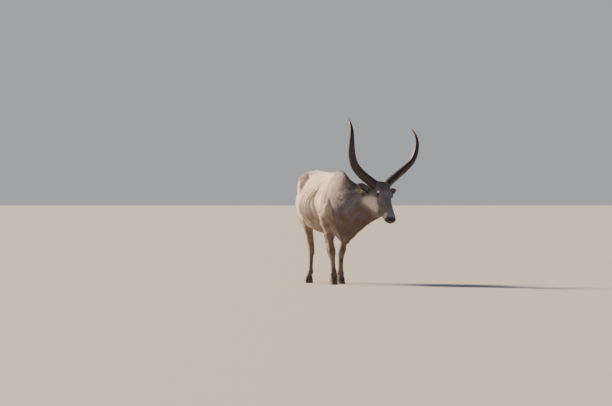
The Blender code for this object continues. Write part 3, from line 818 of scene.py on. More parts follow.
# %% Ribs, hips and shoulders
RIB_COUNT = 10
RIB_STEP = 0.050
FIRST_RIB_Y = -0.205
RIB_LINE = (
    (-0.040, 1.300), (-0.020, 1.230), (0.005, 1.140), (0.038, 1.020),
    (0.058, 0.900), (0.050, 0.790), (0.015, 0.700),
)
RIB_WIDTH = 0.024
RIB_HEIGHT = 0.0118
RIB_UNEVEN = 0.35
RIB_BEAT = 2.4
RIB_TAPER = 0.38
# How soon the flank's strokes fade where the skin turns up or down
FLANK_EDGE = 2.2

# Ridges and grooves of the side view: points of y and z, width, height
SIDE_STROKES = [
    ([(0.17, 1.288), (0.30, 1.286), (0.43, 1.290)], 0.022, 0.006),
    ([(0.50, 1.235), (0.62, 1.222), (0.74, 1.200)], 0.045, -0.010),
    ([(0.735, 1.13), (0.70, 0.98), (0.64, 0.84), (0.59, 0.72)], 0.030, -0.010),
    ([(0.60, 1.16), (0.57, 1.00), (0.52, 0.86), (0.47, 0.76)], 0.045, -0.006),
    ([(0.455, 1.235), (0.385, 1.06), (0.350, 0.90), (0.345, 0.79)], 0.034, 0.012),
    ([(0.365, 0.80), (0.295, 0.73), (0.200, 0.668)], 0.034, 0.014),
    ([(-0.335, 1.245), (-0.42, 1.10), (-0.505, 0.955)], 0.026, 0.009),
    ([(-0.425, 1.22), (-0.515, 1.07), (-0.575, 0.95)], 0.034, -0.007),
    ([(-0.285, 1.21), (-0.355, 1.07), (-0.43, 0.97)], 0.036, -0.008),
    ([(-0.205, 1.18), (-0.235, 1.03), (-0.270, 0.87), (-0.290, 0.75)], 0.036, -0.013),
    ([(-0.33, 0.80), (-0.42, 0.83), (-0.52, 0.88)], 0.026, -0.008),
]
# Swellings and hollows of the side view: middle, radii, height
SIDE_SWELLS = [
    ((0.345, 1.180), (0.080, 0.105), -0.016),
    ((0.482, 1.272), (0.090, 0.060), 0.006),
    ((0.340, 0.765), (0.050, 0.050), 0.007),
    ((-0.430, 0.950), (0.130, 0.230), 0.018),
    ((-0.575, 0.920), (0.055, 0.060), 0.010),
    ((-0.330, 0.725), (0.035, 0.035), 0.006),
    ((0.600, 0.960), (0.110, 0.160), 0.006),
]
SPINE_WIDTH = 0.022
SPINE_HEIGHT = 0.006
SPINE_KNOBS = 17
SPINE_FROM_Y = -0.24
SPINE_TO_Y = 0.68
SPINE_TAPER = 0.2
SPINE_KNOB = ((0.018, 0.022), 0.003)
# On each side of the tail: middle, radii, height
CROUP_SWELLS = [
    ((0.050, 0.735, 1.275), (0.045, 0.075, 0.07), -0.012),
    ((0.092, 0.790, 1.195), (0.045, 0.045, 0.05), 0.008),
]

spots, facing = read_points(skin)
lift = np.zeros(len(spots))
side_view = spots[:, 1:3]
top_view = spots[:, :2]
for side in (-1, 1):
    flank = np.clip(facing[:, 0] * side * FLANK_EDGE, 0, 1) * (spots[:, 0] * side > 0.01)
    for k in range(RIB_COUNT):
        rib = [(FIRST_RIB_Y + RIB_STEP * k + y, z) for y, z in RIB_LINE]
        rib_height = RIB_HEIGHT * (1 - RIB_UNEVEN * math.sin(k * RIB_BEAT) ** 2)
        stroke(lift, side_view, rib, RIB_WIDTH, rib_height, flank, taper=RIB_TAPER)
    for path, width, height in SIDE_STROKES:
        stroke(lift, side_view, path, width, height, flank)
    for middle, radii, height in SIDE_SWELLS:
        swell(lift, side_view, middle, radii, height, flank)
    for (x, y, z), radii, height in CROUP_SWELLS:
        swell(lift, spots, (side * x, y, z), radii, height)
crest = np.clip(facing[:, 2] * 2, 0, 1) * (np.abs(spots[:, 0]) < 0.1)
spine = [(0, SPINE_FROM_Y), (0, 0.1), (0, 0.4), (0, SPINE_TO_Y)]
stroke(lift, top_view, spine, SPINE_WIDTH, SPINE_HEIGHT, crest, taper=SPINE_TAPER)
for y in np.linspace(SPINE_FROM_Y, SPINE_TO_Y, SPINE_KNOBS):
    swell(lift, top_view, (0, y), *SPINE_KNOB, crest)
print("from", round(lift.min() * 1000, 1), "mm in the deepest hollow to", round(lift.max() * 1000, 1))

# %% [markdown]
# The neck's places are easiest to give by a station of the body's table and a level from top
# to bottom. The neck bends to the left, so the skin is drawn tight on the right, where long
# muscles show from the ear to the shoulder, and gathers in folds on the left. The dewlap is a
# loose sheet of skin: it hangs in waves, deepest at its lower edge.

# %% Neck and dewlap
DEWLAP_FIRST = 12
DEWLAP_WAVE = 0.105
DEWLAP_SWING = 0.0075
DEWLAP_REACH = 0.16
JAW_LEVEL = -0.17
# The level where the dewlap starts to hang free, how soon it does, and how its ends fade
HANG_FROM = 0.55
HANG_OVER = 0.40
HANG_POWER = 1.5
HANG_START = 4
HANG_STOP = 5
# Strokes of the neck: points of station and level, width, height, side
NECK_STROKES = [
    ([(18.7, 0.14), (17.0, 0.26), (15.0, 0.42), (13.2, 0.56)], 0.060, 0.0035, -1),
    ([(18.9, 0.42), (17.0, 0.56), (15.2, 0.68), (13.6, 0.78)], 0.045, -0.0045, -1),
    ([(18.4, 0.02), (16.5, 0.10), (14.5, 0.20), (12.5, 0.34)], 0.050, -0.0030, -1),
    ([(18.7, 0.14), (17.0, 0.26), (15.0, 0.42), (13.2, 0.56)], 0.042, 0.006, 1),
    ([(18.9, 0.46), (17.0, 0.60), (15.2, 0.70), (13.6, 0.80)], 0.032, -0.007, 1),
]
# Folds of the neck and of the throat: stations, levels they run through, sides, slant, width
# and height
FOLDS = [
    ((14.4, 15.3, 16.1, 16.9, 17.7), (0.12, 0.35, 0.60, 0.82), (1,), 0.5, 0.024, 0.008),
    ((14.2, 15.0, 15.8, 16.6, 17.4, 18.2), (0.62, 0.78, 0.92, 1.02), (-1, 1), 0.3, 0.018, 0.004),
]


def body_point(station, level, side):
    """A place on the trunk or neck at a station of its table and a level of its outline."""
    three = along(BODY, range(len(BODY)), [station - 0.01, station, station + 0.01])
    x, y, top, bottom = three[1][:4]
    wide = np.interp(level, (0, *LEVELS, 1), (0, *three[1][4:], 0))
    plan = np.array((x, y)) + side * wide * path_across(three, 1)
    return (*plan, top + (bottom - top) * level)


for places, width, height, side in NECK_STROKES:
    stroke(lift, spots, [body_point(s, level, side) for s, level in places], width, height)
for stations, levels, sides, slant, width, height in FOLDS:
    for station in stations:
        for side in sides:
            fold = [body_point(station + slant * level, level, side) for level in levels]
            stroke(lift, spots, fold, width, height)
spots += facing * lift[:, None]
neck_rows = np.array(BODY[DEWLAP_FIRST:])
neck_path = neck_rows[:, :2]
near, nearness, share = near_path(spots[:, :2], neck_path, DEWLAP_REACH)
lengths = np.concatenate([[0], np.cumsum(np.linalg.norm(np.diff(neck_path, axis=0), axis=1))])
gone = share * lengths[-1]
top = np.interp(gone, lengths, neck_rows[:, 2])
bottom = np.interp(gone, lengths, neck_rows[:, 3])
level = (top - spots[near, 2]) / (top - bottom)
hang = np.clip((level - HANG_FROM) / HANG_OVER, 0, 1) ** HANG_POWER
hang = hang * np.clip(share * HANG_START, 0, 1) * np.clip((1 - share) * HANG_STOP, 0, 1)
hang = hang * (in_head(spots[near])[:, 2] < JAW_LEVEL)
wave = np.sin(gone / DEWLAP_WAVE * 2 * math.pi + level * 1.5) * DEWLAP_SWING * hang
directions = np.array([path_across(neck_path, k) for k in range(len(neck_path))])
across = np.column_stack([np.interp(gone, lengths, directions[:, k]) for k in range(2)])
spots[near, :2] += across * wave[:, None]
write_points(skin, spots)
print("dewlap points that swing:", int((hang > 0.05).sum()))

# %% [markdown]
# ## The head, in finer steps
# Lids, nostrils and lips are only a few millimetres thick, finer than the skin's points are
# apart. So the head's faces are subdivided once, and those round the eyes and the nostrils
# twice, before they are sculpted.

# %% Finer points on the head
EYE_DENSE = 0.040
NOSTRIL = Vector((0.044, 0.480, -0.022))
NOSTRIL_DENSE = 0.036
# The box that is subdivided once, on the head's own axes
FACE_LOW = (-0.13, -0.05, -0.24)
FACE_HIGH = (0.13, 0.52, 0.03)


def subdivide_faces(target, chosen):
    """Subdivides the chosen faces of a mesh once."""
    select_only(target)
    mesh = target.data
    mesh.polygons.foreach_set("select", chosen)
    mesh.vertices.foreach_set("select", np.zeros(len(mesh.vertices), bool))
    mesh.edges.foreach_set("select", np.zeros(len(mesh.edges), bool))
    bpy.ops.object.mode_set(mode="EDIT")
    bpy.ops.mesh.select_mode(type="FACE")
    bpy.ops.mesh.subdivide(number_cuts=1, smoothness=0.0)
    bpy.ops.object.mode_set(mode="OBJECT")


def face_middles(target):
    """The middles of a mesh's faces, on the head's own axes."""
    middles = np.empty(len(target.data.polygons) * 3)
    target.data.polygons.foreach_get("center", middles)
    return in_head(middles.reshape(-1, 3))


middles = face_middles(skin)
subdivide_faces(skin, ((middles > FACE_LOW) & (middles < FACE_HIGH)).all(axis=1))
middles = face_middles(skin)
eye_spot = np.array((EYE.x, -EYE.y, EYE.z))
mirrored = np.abs(middles[:, 0:1])
folded = np.hstack([mirrored, middles[:, 1:]])
by_eye = np.linalg.norm(folded - eye_spot, axis=1) < EYE_DENSE
by_nostril = np.linalg.norm(folded - np.array(NOSTRIL), axis=1) < NOSTRIL_DENSE
subdivide_faces(skin, by_eye | by_nostril)
print("skin:", len(skin.data.polygons), "faces, finest", int(by_eye.sum() + by_nostril.sum()))

# %% [markdown]
# The head is long and dry. Behind the eye is a hollow, and below it a bony ridge runs to the
# ear. The cheek muscle ends in a groove, with a hollow in front of it. The nose bones stand
# proud of the sides of the face. The mouth's line runs back a hand's breadth from the muzzle.

# %% Face
FACE_TAPER = 0.25
# Strokes of the face's side: points down the face and out of it, width, height
FACE_STROKES = [
    ([(0.190, -0.086), (0.140, -0.096), (0.090, -0.092), (0.050, -0.082)], 0.018, 0.0050),
    ([(0.245, -0.080), (0.264, -0.130), (0.258, -0.180), (0.235, -0.215)], 0.018, -0.0060),
    ([(0.200, -0.034), (0.300, -0.032), (0.400, -0.034)], 0.020, -0.0045),
    ([(0.100, -0.178), (0.200, -0.206), (0.300, -0.190), (0.400, -0.136)], 0.014, 0.0030),
    ([(0.500, -0.076), (0.475, -0.084), (0.435, -0.093), (0.392, -0.100)], 0.0070, -0.0075),
    ([(0.496, -0.066), (0.470, -0.073), (0.430, -0.081), (0.388, -0.090)], 0.0090, 0.0024),
    ([(0.494, -0.088), (0.470, -0.096), (0.430, -0.104), (0.392, -0.110)], 0.0080, 0.0020),
    ([(0.200, -0.078), (0.250, -0.066), (0.300, -0.058), (0.350, -0.060)], 0.0060, 0.0016),
    ([(0.300, -0.058), (0.345, -0.040), (0.390, -0.028)], 0.0050, 0.0013),
    ([(0.215, -0.120), (0.205, -0.160), (0.190, -0.195)], 0.0060, 0.0014),
    ([(0.388, -0.094), (0.376, -0.103), (0.366, -0.118)], 0.0080, -0.0022),
    ([(0.380, -0.088), (0.364, -0.094), (0.352, -0.104)], 0.0070, -0.0016),
    ([(0.120, -0.078), (0.155, -0.090), (0.192, -0.082)], 0.0060, -0.0022),
    ([(0.128, -0.088), (0.160, -0.100), (0.198, -0.092)], 0.0060, -0.0016),
    ([(0.118, -0.022), (0.150, -0.010), (0.188, -0.018)], 0.0060, -0.0022),
]
# Swellings and hollows of the face's side: middle, radii, height
FACE_SWELLS = [
    ((0.085, -0.058), (0.038, 0.028), -0.0085),
    ((0.165, -0.150), (0.080, 0.058), 0.0040),
    ((0.264, -0.088), (0.032, 0.018), 0.0050),
    ((0.315, -0.105), (0.055, 0.045), -0.0080),
    ((0.455, -0.110), (0.034, 0.016), 0.0040),
    ((0.150, -0.006), (0.050, 0.026), 0.0050),
    ((0.470, -0.062), (0.030, 0.016), 0.0030),
]
# Nostril: a comma from the inner rim round to the outer slit
NOSTRIL_LINE = [
    (0.021, 0.500, -0.026), (0.036, 0.492, -0.019), (0.052, 0.476, -0.019), (0.063, 0.455, -0.027),
]
# The nostril's raised rim and its hole: width, height, and how far their ends fade
NOSTRIL_STROKES = [(0.020, 0.0045, 0.20), (0.0100, -0.0180, 0.15)]
CHIN_HOLLOW = [(0.0, 0.16, -0.215), (0.0, 0.26, -0.215), (0.0, 0.38, -0.160)]
BROW_LINE = [(0.0, 0.02, 0.008), (0.0, 0.10, 0.008), (0.0, 0.20, 0.0)]
LIP_FRONT = [
    (-0.046, 0.494, -0.080), (-0.024, 0.504, -0.076), (0.0, 0.508, -0.074), (0.024, 0.504, -0.076),
    (0.046, 0.494, -0.080),
]
LIP_CLEFT = [(0.0, 0.516, -0.040), (0.0, 0.514, -0.055), (0.0, 0.508, -0.070)]
# Strokes of the face's middle: points, width, height, and how far their ends fade
MIDDLE_STROKES = [
    (LIP_FRONT, 0.0080, -0.0075, 0.02),
    (LIP_CLEFT, 0.0040, -0.0016, 0.35),
    (CHIN_HOLLOW, 0.030, -0.0100, 0.35),
    (BROW_LINE, 0.012, -0.0016, 0.35),
]

spots, facing = read_points(skin)
lift = np.zeros(len(spots))
face = in_head(spots)
turned = facing @ np.array(HEAD_AXES.to_3x3()) * (1, -1, 1)
profile_view = face[:, 1:]
on_head = (np.abs(face[:, 0]) < 0.125) & (face[:, 2] > -0.25)
for side in (-1, 1):
    cheek = np.clip(turned[:, 0] * side * 2.0, 0, 1) * (face[:, 0] * side > 0.004) * on_head
    for path, width, height in FACE_STROKES:
        stroke(lift, profile_view, path, width, height, cheek, taper=FACE_TAPER)
    for middle, radii, height in FACE_SWELLS:
        swell(lift, profile_view, middle, radii, height, cheek)
    nostril = [(side * x, y, z) for x, y, z in NOSTRIL_LINE]
    for width, height, taper in NOSTRIL_STROKES:
        stroke(lift, face, nostril, width, height, taper=taper)
for path, width, height, taper in MIDDLE_STROKES:
    stroke(lift, face, path, width, height, taper=taper)
spots += facing * lift[:, None]
write_points(skin, spots)
print("strokes on each side of the face:", len(FACE_STROKES) + len(NOSTRIL_STROKES))

# %% [markdown]
# A lid is skin that lies on the eyeball and stops at an almond-shaped slit. So each point near
# an eye is taken by its direction from the eye's middle: outside the slit it is kept a lid's
# thickness above the ball, and inside it is sunk below the ball, which then shows.

# %% Lids
EYE_OUT = Vector((0.90, 0.06, 0.40)).normalized()
EYE_SLIT = Vector((0.0, 1.0, 0.06))
LID_THICK = 0.0024
LID_REACH = 0.034
SLIT_LONG = 0.90
SLIT_UP = 0.50
SLIT_DOWN = 0.44
LID_SINK = 0.0050
LID_SOFT = 0.004
LID_FADE = 0.010
# How full the slit's outline is, and how soft its edge is
SLIT_FULL = 0.75
SLIT_EDGE = 0.10


def lid_axes(side):
    """The directions along the slit, above it and out of it, on the head's own axes."""
    outward = np.array((side * EYE_OUT.x, EYE_OUT.y, EYE_OUT.z))
    along_slit = np.array((0.0, EYE_SLIT.y, EYE_SLIT.z))
    along_slit -= outward * (along_slit @ outward)
    along_slit /= np.linalg.norm(along_slit)
    return along_slit, np.cross(outward, along_slit) * side, outward


spots, facing = read_points(skin)
face = in_head(spots)
for side in (-1, 1):
    along_slit, above, outward = lid_axes(side)
    from_eye = face - eye_spot * (side, 1, 1)
    away = np.linalg.norm(from_eye, axis=1)
    near = np.flatnonzero((away < LID_REACH) & (from_eye @ outward > -0.004))
    aim = from_eye[near] / away[near, None]
    a, b, c = aim @ along_slit, aim @ above, aim @ outward
    half = np.where(b > 0, SLIT_UP, SLIT_DOWN) * np.clip(1 - (a / SLIT_LONG) ** 2, 0, 1) ** SLIT_FULL
    beyond = np.abs(b) - half
    lid_radius = EYE_RADIUS + LID_THICK
    lid = 0.5 * (away[near] + lid_radius + np.sqrt((away[near] - lid_radius) ** 2 + LID_SOFT**2))
    sunk = np.minimum(away[near], EYE_RADIUS - LID_SINK)
    open_share = np.clip(0.5 - beyond / SLIT_EDGE, 0, 1) * (c > 0.15)
    fade = np.clip((LID_REACH - away[near]) / LID_FADE, 0, 1)
    radius = lid * (1 - open_share) + sunk * open_share
    radius = radius * fade + away[near] * (1 - fade)
    face[near] = eye_spot * (side, 1, 1) + aim * radius[:, None]
    print("lid points:", len(near), "in the slit:", int((open_share > 0.5).sum()))
moved = np.abs(face - in_head(spots)).max(axis=1) > 1e-7
spots[moved] = off_axes(HEAD_AXES, face[moved] * (1, -1, 1))
write_points(skin, spots)

# %% [markdown]
# Each ear is now curled into a cup that opens to the front: its edges are brought forward,
# and its front is pushed back so that only a thin wall is left.

# %% Ears
EAR_ROOT = np.array((0.108, 0.072, -0.104))
EAR_AXIS = np.array((0.921, 0.0, 0.390))
EAR_LENGTH = 0.192
EAR_CURL = 0.013
EAR_HOLLOW = 0.0115
# How far out along the ear its half widths are, and what they are
EAR_PLACES = (0, 0.04, 0.088, 0.130, 0.165, 0.190)
EAR_HALF_WIDTHS = (0.021, 0.033, 0.041, 0.037, 0.024, 0.008)

spots, facing = read_points(skin)
upright = on_axes(UPRIGHT, spots)
turned = facing @ np.array(UPRIGHT.to_3x3())
ear_share = np.zeros(len(spots))
ear_side = np.cross(EAR_AXIS, (0, 1, 0))
for side in (-1, 1):
    local = upright * (side, 1, 1) - EAR_ROOT
    t = local @ EAR_AXIS
    v = local @ ear_side
    half = np.interp(t, EAR_PLACES, EAR_HALF_WIDTHS)
    inside = (t > -0.005) & (t < EAR_LENGTH + 0.02)
    inside &= (np.abs(v) < 0.06) & (np.abs(local[:, 1]) < 0.035)
    lengthwise = np.clip((t + 0.002) / 0.05, 0, 1) * np.clip((EAR_LENGTH + 0.004 - t) / 0.03, 0, 1)
    across = np.clip(np.abs(v) / half, 0, 1.1)
    curl = -EAR_CURL * across**2 * lengthwise
    hollow = np.clip(-turned[:, 1] * 1.6, 0, 1) * np.clip(1 - across**2, 0, 1) ** 0.8 * lengthwise
    upright[inside, 1] += (curl + hollow * EAR_HOLLOW + EAR_CURL * 0.35 * lengthwise)[inside]
    ear_share[inside] = np.clip(t[inside] / 0.03, 0, 1)
ear_points = ear_share > 0
spots[ear_points] = off_axes(UPRIGHT, upright[ear_points])
write_points(skin, spots)
print("ear points:", int(ear_points.sum()))

# %% [markdown]
# ## Thinning the skin
# Flat stretches of flank need far fewer points than the face. A Decimate modifier takes away
# the points that change the shape least, so it thins the mesh where it is plain. The skin also
# sinks by the coat's depth, so that hair and skin together have the outline of the solids.

# %% Thin and sink
SKIN_TRIANGLES = 192000
COAT_DEPTH = 0.0025

spots, facing = read_points(skin)
write_points(skin, spots - facing * COAT_DEPTH * (1 - 0.6 * ear_share[:, None]))
triangles = sum(len(face.vertices) - 2 for face in skin.data.polygons)
thin = skin.modifiers.new("thin", "DECIMATE")
thin.ratio = SKIN_TRIANGLES / triangles
thin.use_collapse_triangulate = True
apply_all(skin)
skin.data.transform(Matrix.Translation(SHIFT))
skin.data.shade_smooth()
print("skin:", triangles, "triangles, thinned to", sum(len(f.vertices) - 2 for f in skin.data.polygons))

# %% [markdown]
# ## Markings with painted shade and light, and the lie of the coat
# Skin and coat have to agree on colour, so both read one rule. It gives three shares for each point: how
# grey, how dark and how tan the coat is there. The shares also hold painted shade, and painted light on parts
# of the face. First come the measures that the rule is made of: a smooth step, an oval patch, and where the
# head and the ears are.

# %% Measures of a place
def rise(values, low, high):
    """0 below low, 1 above high, and a smooth step between."""
    t = np.clip((values - low) / (high - low), 0, 1)
    return t * t * (3 - 2 * t)


def spot_share(view, middle, radii):
    """1 in an oval's middle and 0 beyond it."""
    apart = (((view - np.array(middle)) / np.array(radii)) ** 2).sum(axis=1)
    return rise(1.4 - apart, 0.0, 1.0)


def head_share(spots):
    """1 on the head and 0 on the neck."""
    face = in_head(spots)
    within = (np.abs(face[:, 0]) < 0.30) * (face[:, 1] < 0.56) * rise(face[:, 2], -0.275, -0.225)
    return rise(face[:, 1] + 0.55 * (face[:, 2] + 0.12), -0.05, 0.02) * within


def ear_share_of(spots):
    """1 on the ears, from a little way out of the head."""
    upright = on_axes(UPRIGHT, spots)
    found = np.zeros(len(spots))
    for side in (-1, 1):
        local = upright * (side, 1, 1) - EAR_ROOT
        inside = (np.abs(local[:, 1]) < 0.05) & (np.abs(local @ ear_side) < 0.075)
        found = np.maximum(found, rise(local @ EAR_AXIS, -0.015, 0.020) * inside)
    return found


in_skin = read_points(skin)[0] - STEP
print("points on the head:", int((head_share(in_skin) > 0.5).sum()),
      "and on the ears:", int((ear_share_of(in_skin) > 0.5).sum()))

# %% [markdown]
# The barrel is cream, and the shoulder, neck and face are grey, partly the coat's own grey and partly painted
# shade. The cheek and a ring round the muzzle are pale, partly as painted light, and a spot over the eye is a
# painted highlight. The muzzle, the rims of the eyes and the tail's end are dark, and the sheath, the lower
# legs and the ears are a little darker than what is round them. The hump, the upper neck, the nostrils and
# the lower legs are also darkened as painted shade. Brown on the brisket, the throat, the belly, the lower
# flank and the legs is partly dust and partly painted shade.

# %% Rule for colour
# How far forward the grey of the neck, with its painted shade, starts at each height
GREY_LEVELS = (0.60, 0.90, 1.00, 1.12, 1.24, 1.36)
GREY_AND_SHADE_STARTS = (0.60, 0.61, 0.58, 0.50, 0.38, 0.30)
# Patches: middle and radii in the side view, in the head's profile, down the face or in height
HOOK_PATCH = ((0.47, 1.290), (0.085, 0.060))
# The pale cheek and the muzzle's ring are partly painted light, and the spot over the eye is a painted
# highlight
CHEEK_PALE_AND_LIT = ((0.200, -0.160), (0.098, 0.068))
OVER_EYE_HIGHLIGHT = ((0.128, -0.018), (0.026, 0.016))
MUZZLE_RING_PALE_AND_LIT = ((0.428,), (0.034,))
KNEE_PATCH = ((0.41,), (0.07,))
SHEATH_PATCH = ((0, 0.09, 0.53), (0.06, 0.10, 0.09))
# The cheek's outline wanders by this much, in waves that run down the face and out of it
WANDER = 0.009
WANDER_WAVES = ((0.0, 0.0), (58.0, 31.0), (37.0, 66.0))
EYE_RIM = (0.0225, 0.0285)
NOSTRIL_RIM = 0.012


def markings_and_painted_shading(spots, facing):
    """Shares of grey, dark and tan for skin or coat points, with painted shade and light in them."""
    x, y, z = spots.T
    face = in_head(spots)
    head = head_share(spots)
    ear = ear_share_of(spots)
    profile = np.column_stack([face[:, 1], face[:, 2]])
    # Where the shoulder and neck are, the lower leg, and the lower flank. The grey on the front is partly the
    # coat's own and partly painted shade, and the lower flank gets a little grey as painted shade
    front = rise(-y - np.interp(z, GREY_LEVELS, GREY_AND_SHADE_STARTS), -0.05, 0.06)
    leg = rise(-z, -0.66, -0.48)
    low = rise(-z, -1.05, -0.62)
    grey = (1 - head) * front * (0.95 - 0.50 * leg) + 0.16 * (1 - head) * low
    grey += spot_share(spots[:, 1:3], *HOOK_PATCH) * 0.85 * rise(np.abs(x), 0.06, 0.14)
    # The face is grey, partly as painted shade, but for its pale places, which are partly painted light
    wander = WANDER * np.sin(face @ np.array(WANDER_WAVES))
    off_middle = np.abs(face[:, 0])
    cheek = spot_share(profile + wander, *CHEEK_PALE_AND_LIT) * rise(off_middle, 0.03, 0.055)
    ring = spot_share(face[:, 1:2], *MUZZLE_RING_PALE_AND_LIT) * rise(-face[:, 2], 0.012, 0.040)
    over_eye_highlight = 0.6 * spot_share(profile, *OVER_EYE_HIGHLIGHT) * rise(off_middle, 0.05, 0.075)
    jaw = rise(-face[:, 2], 0.150, 0.200) * 0.15
    pale_and_painted_light = np.clip(cheek + ring + over_eye_highlight + jaw, 0, 1)
    grey = grey + head * (0.92 - 0.86 * pale_and_painted_light)
    # The dark places, the strongest one of them at each point. Some are painted shade: the nostrils, the hump
    # and upper neck, and the lower legs
    muzzle = rise(face[:, 1] - 0.10 * np.abs(face[:, 2] + 0.06), 0.452, 0.474) * head
    eye_ring = np.zeros(len(spots))
    nostril_shade = np.zeros(len(spots))
    for side in (-1, 1):
        apart = np.linalg.norm(face - eye_spot * (side, 1, 1), axis=1)
        eye_ring = np.maximum(eye_ring, 1 - rise(apart, *EYE_RIM))
        nostril = [(side * a, b, c) for a, b, c in NOSTRIL_LINE]
        near, nearness, _ = near_path(face, nostril, NOSTRIL_RIM)
        nostril_shade[near] = np.maximum(nostril_shade[near], nearness)
    dark = np.maximum.reduce([
        muzzle * 0.95, eye_ring * head, nostril_shade, ear * 0.18,
        # painted shade on the hump and the upper neck
        0.30 * front * (1 - head) * rise(z, 0.95, 1.20),
        0.45 * spot_share(spots, *SHEATH_PATCH),
        # painted shade on the lower legs, and darker again just above the hooves
        0.32 * rise(-z, -0.66, -0.44) + 0.24 * rise(-z, -0.135, -0.070),
        0.90 * rise(y, 0.82, 0.845) * rise(-z, -0.80, -0.60),
    ])
    # Brown: dust, and painted shade on the brisket, the throat, the belly, the lower flank and the legs
    knee = rise(-facing[:, 1], 0.1, 0.8) * spot_share(z[:, None], *KNEE_PATCH)
    brisket = rise(-y, 0.42, 0.58) * rise(-z, -0.86, -0.60) * (1 - head) * rise(z, 0.45, 0.50)
    belly = rise(-facing[:, 2], 0.05, 0.8) * rise(z, 0.50, 0.58) * 0.75
    throat = rise(-y, 0.45, 0.70) * rise(-facing[:, 2], 0.0, 0.7) * 0.5
    # this sum is dust and painted shade together
    dusty = 0.58 * brisket + belly + throat + 0.58 * low + 0.50 * leg + 0.30 * knee * leg
    tan = np.clip(dusty, 0, 0.95)
    tan = tan * (1 - head) * (1 - ear) + head * rise(-face[:, 2], 0.19, 0.24) * 0.35 + ear * 0.5
    return np.column_stack([np.clip(grey, 0, 1), np.clip(dark, 0, 1), tan, np.ones(len(spots))])


print("patches of colour:", [HOOK_PATCH, CHEEK_PALE_AND_LIT, OVER_EYE_HIGHLIGHT, SHEATH_PATCH])

# %% [markdown]
# A second rule says which way the hair lies. A place with its measure along the hair cut
# short makes any pattern on it a streak along the coat. Both rules' results are kept on the
# skin's points as attributes, where the material reads them.

# %% Rule for the lie of the hair
COMB = 0.86
COMB_MIDDLE = (0.0, 0.0, 0.9)
FLANK_HAIR = (0.0, 0.93, -0.36)
LEG_HAIR = (0.0, 0.15, -1.0)
NECK_HAIR = (-0.55, 0.45, -0.70)
TAIL_HAIR = (0.0, 0.05, -1.0)


def lie_of(spots):
    """The direction that the hair lies in: back and down, down the legs, and down the face."""
    z = spots[:, 2]
    head = head_share(spots)[:, None]
    ear = ear_share_of(spots)[:, None]
    leg = rise(-z, -0.80, -0.60)[:, None]
    tail = (rise(spots[:, 1], 0.80, 0.84) * (z < 1.25))[:, None]
    hair = np.array(FLANK_HAIR) * (1 - leg) + np.array(LEG_HAIR) * leg
    neck = rise(-spots[:, 1], 0.55, 0.75)[:, None]
    hair = hair * (1 - neck) + np.array(NECK_HAIR) * neck
    hair = hair * (1 - tail) + np.array(TAIL_HAIR) * tail
    face = in_head(spots)
    down_face = np.array(HEAD_AXES.to_3x3() @ Vector((0, -1, 0)))
    out_face = np.array(HEAD_AXES.to_3x3() @ Vector((1, 0, 0)))
    sideways = np.clip(face[:, 0:1] * 8, -0.6, 0.6)
    hair = hair * (1 - head) + (down_face + out_face * sideways) * head
    upright = on_axes(UPRIGHT, spots)
    ear_out = UPRIGHT.to_3x3() @ Vector(EAR_AXIS)
    ear_out_right = UPRIGHT.to_3x3() @ Vector((-EAR_AXIS[0], EAR_AXIS[1], EAR_AXIS[2]))
    outward = np.where(upright[:, 0:1] > 0, np.array(ear_out), np.array(ear_out_right))
    hair = hair * (1 - ear) + outward * ear
    return hair / np.linalg.norm(hair, axis=1)[:, None]


def combed(spots):
    """Places with their measure along the hair cut short."""
    hair = lie_of(spots)
    along_hair = ((spots - np.array(COMB_MIDDLE)) * hair).sum(axis=1)
    return spots - COMB * hair * along_hair[:, None]


def keep_vectors(target, name, vectors):
    """Keeps one vector for each point of a mesh, for its material."""
    layer = target.data.attributes.new(name, "FLOAT_VECTOR", "POINT")
    layer.data.foreach_set("vector", np.array(vectors, np.float32).ravel())


def keep_looks(target, spots, shares):
    """Keeps the markings, painted shade and light included, and the combed place of a mesh's points."""
    layer = target.data.attributes.new("markings_and_painted_shading", "FLOAT_COLOR", "POINT")
    layer.data.foreach_set("color", shares.astype(np.float32).ravel())
    keep_vectors(target, "combed", combed(spots))


spots, facing = read_points(skin)
shares = markings_and_painted_shading(spots - STEP, facing)
keep_looks(skin, spots - STEP, shares)
print("mean shares of grey, dark and tan:", [round(float(v), 2) for v in shares.mean(axis=0)[:3]])

# %% [markdown]
# The skin is unwrapped by the angle of its faces, for the baked look, and the coat's tufts
# will take their places on the same unwrap.

# %% Unwrap the skin
UNWRAP_ANGLE = math.radians(66)
SKIN_MARGIN = 0.001


def unwrap(target, margin):
    """Gives a mesh its UV map, with this much room between its islands."""
    select_only(target)
    target.data.uv_layers.new(name="OFBake")
    bpy.ops.object.mode_set(mode="EDIT")
    bpy.ops.mesh.select_all(action="SELECT")
    bpy.ops.uv.smart_project(angle_limit=UNWRAP_ANGLE, island_margin=margin)
    bpy.ops.object.mode_set(mode="OBJECT")


unwrap(skin, SKIN_MARGIN)
print("unwrapped corners:", len(skin.data.loops))

# %% [markdown]
# ## The coat's material
# Short cattle hair is smooth and lies flat. It is dull, with a soft sheen, and it is glossier where it is
# dark, as on the muzzle. A hair is 0.05 mm thick, far too fine to show, so the streaks are drawn as locks
# about 4 mm wide and 30 mm long. Four layers of the dark colour lie over the paint: the dark markings with
# their painted shade, painted shade in the gaps between locks, broad streaks, and painted shade at the roots
# of the tufts.

# %% Coat material
CREAM = colour("e8dbc8")
CREAM_DEEP = colour("c0ab92")
# The grey and the tan are dark enough to also paint the shade of the front, the undersides and the legs
SHADED_GREY = colour("757079")
SHADED_GREY_DEEP = colour("524d55")
DUST_AND_SHADE_TAN = colour("6c5441")
DARK = colour("241c19")
LOCKS_PER_METRE = 230.0
MOTTLES_PER_METRE = 9.0
STREAKS_PER_METRE = LOCKS_PER_METRE / 7
RANGE_ENDS = ("From Min", "From Max", "To Min", "To Max")

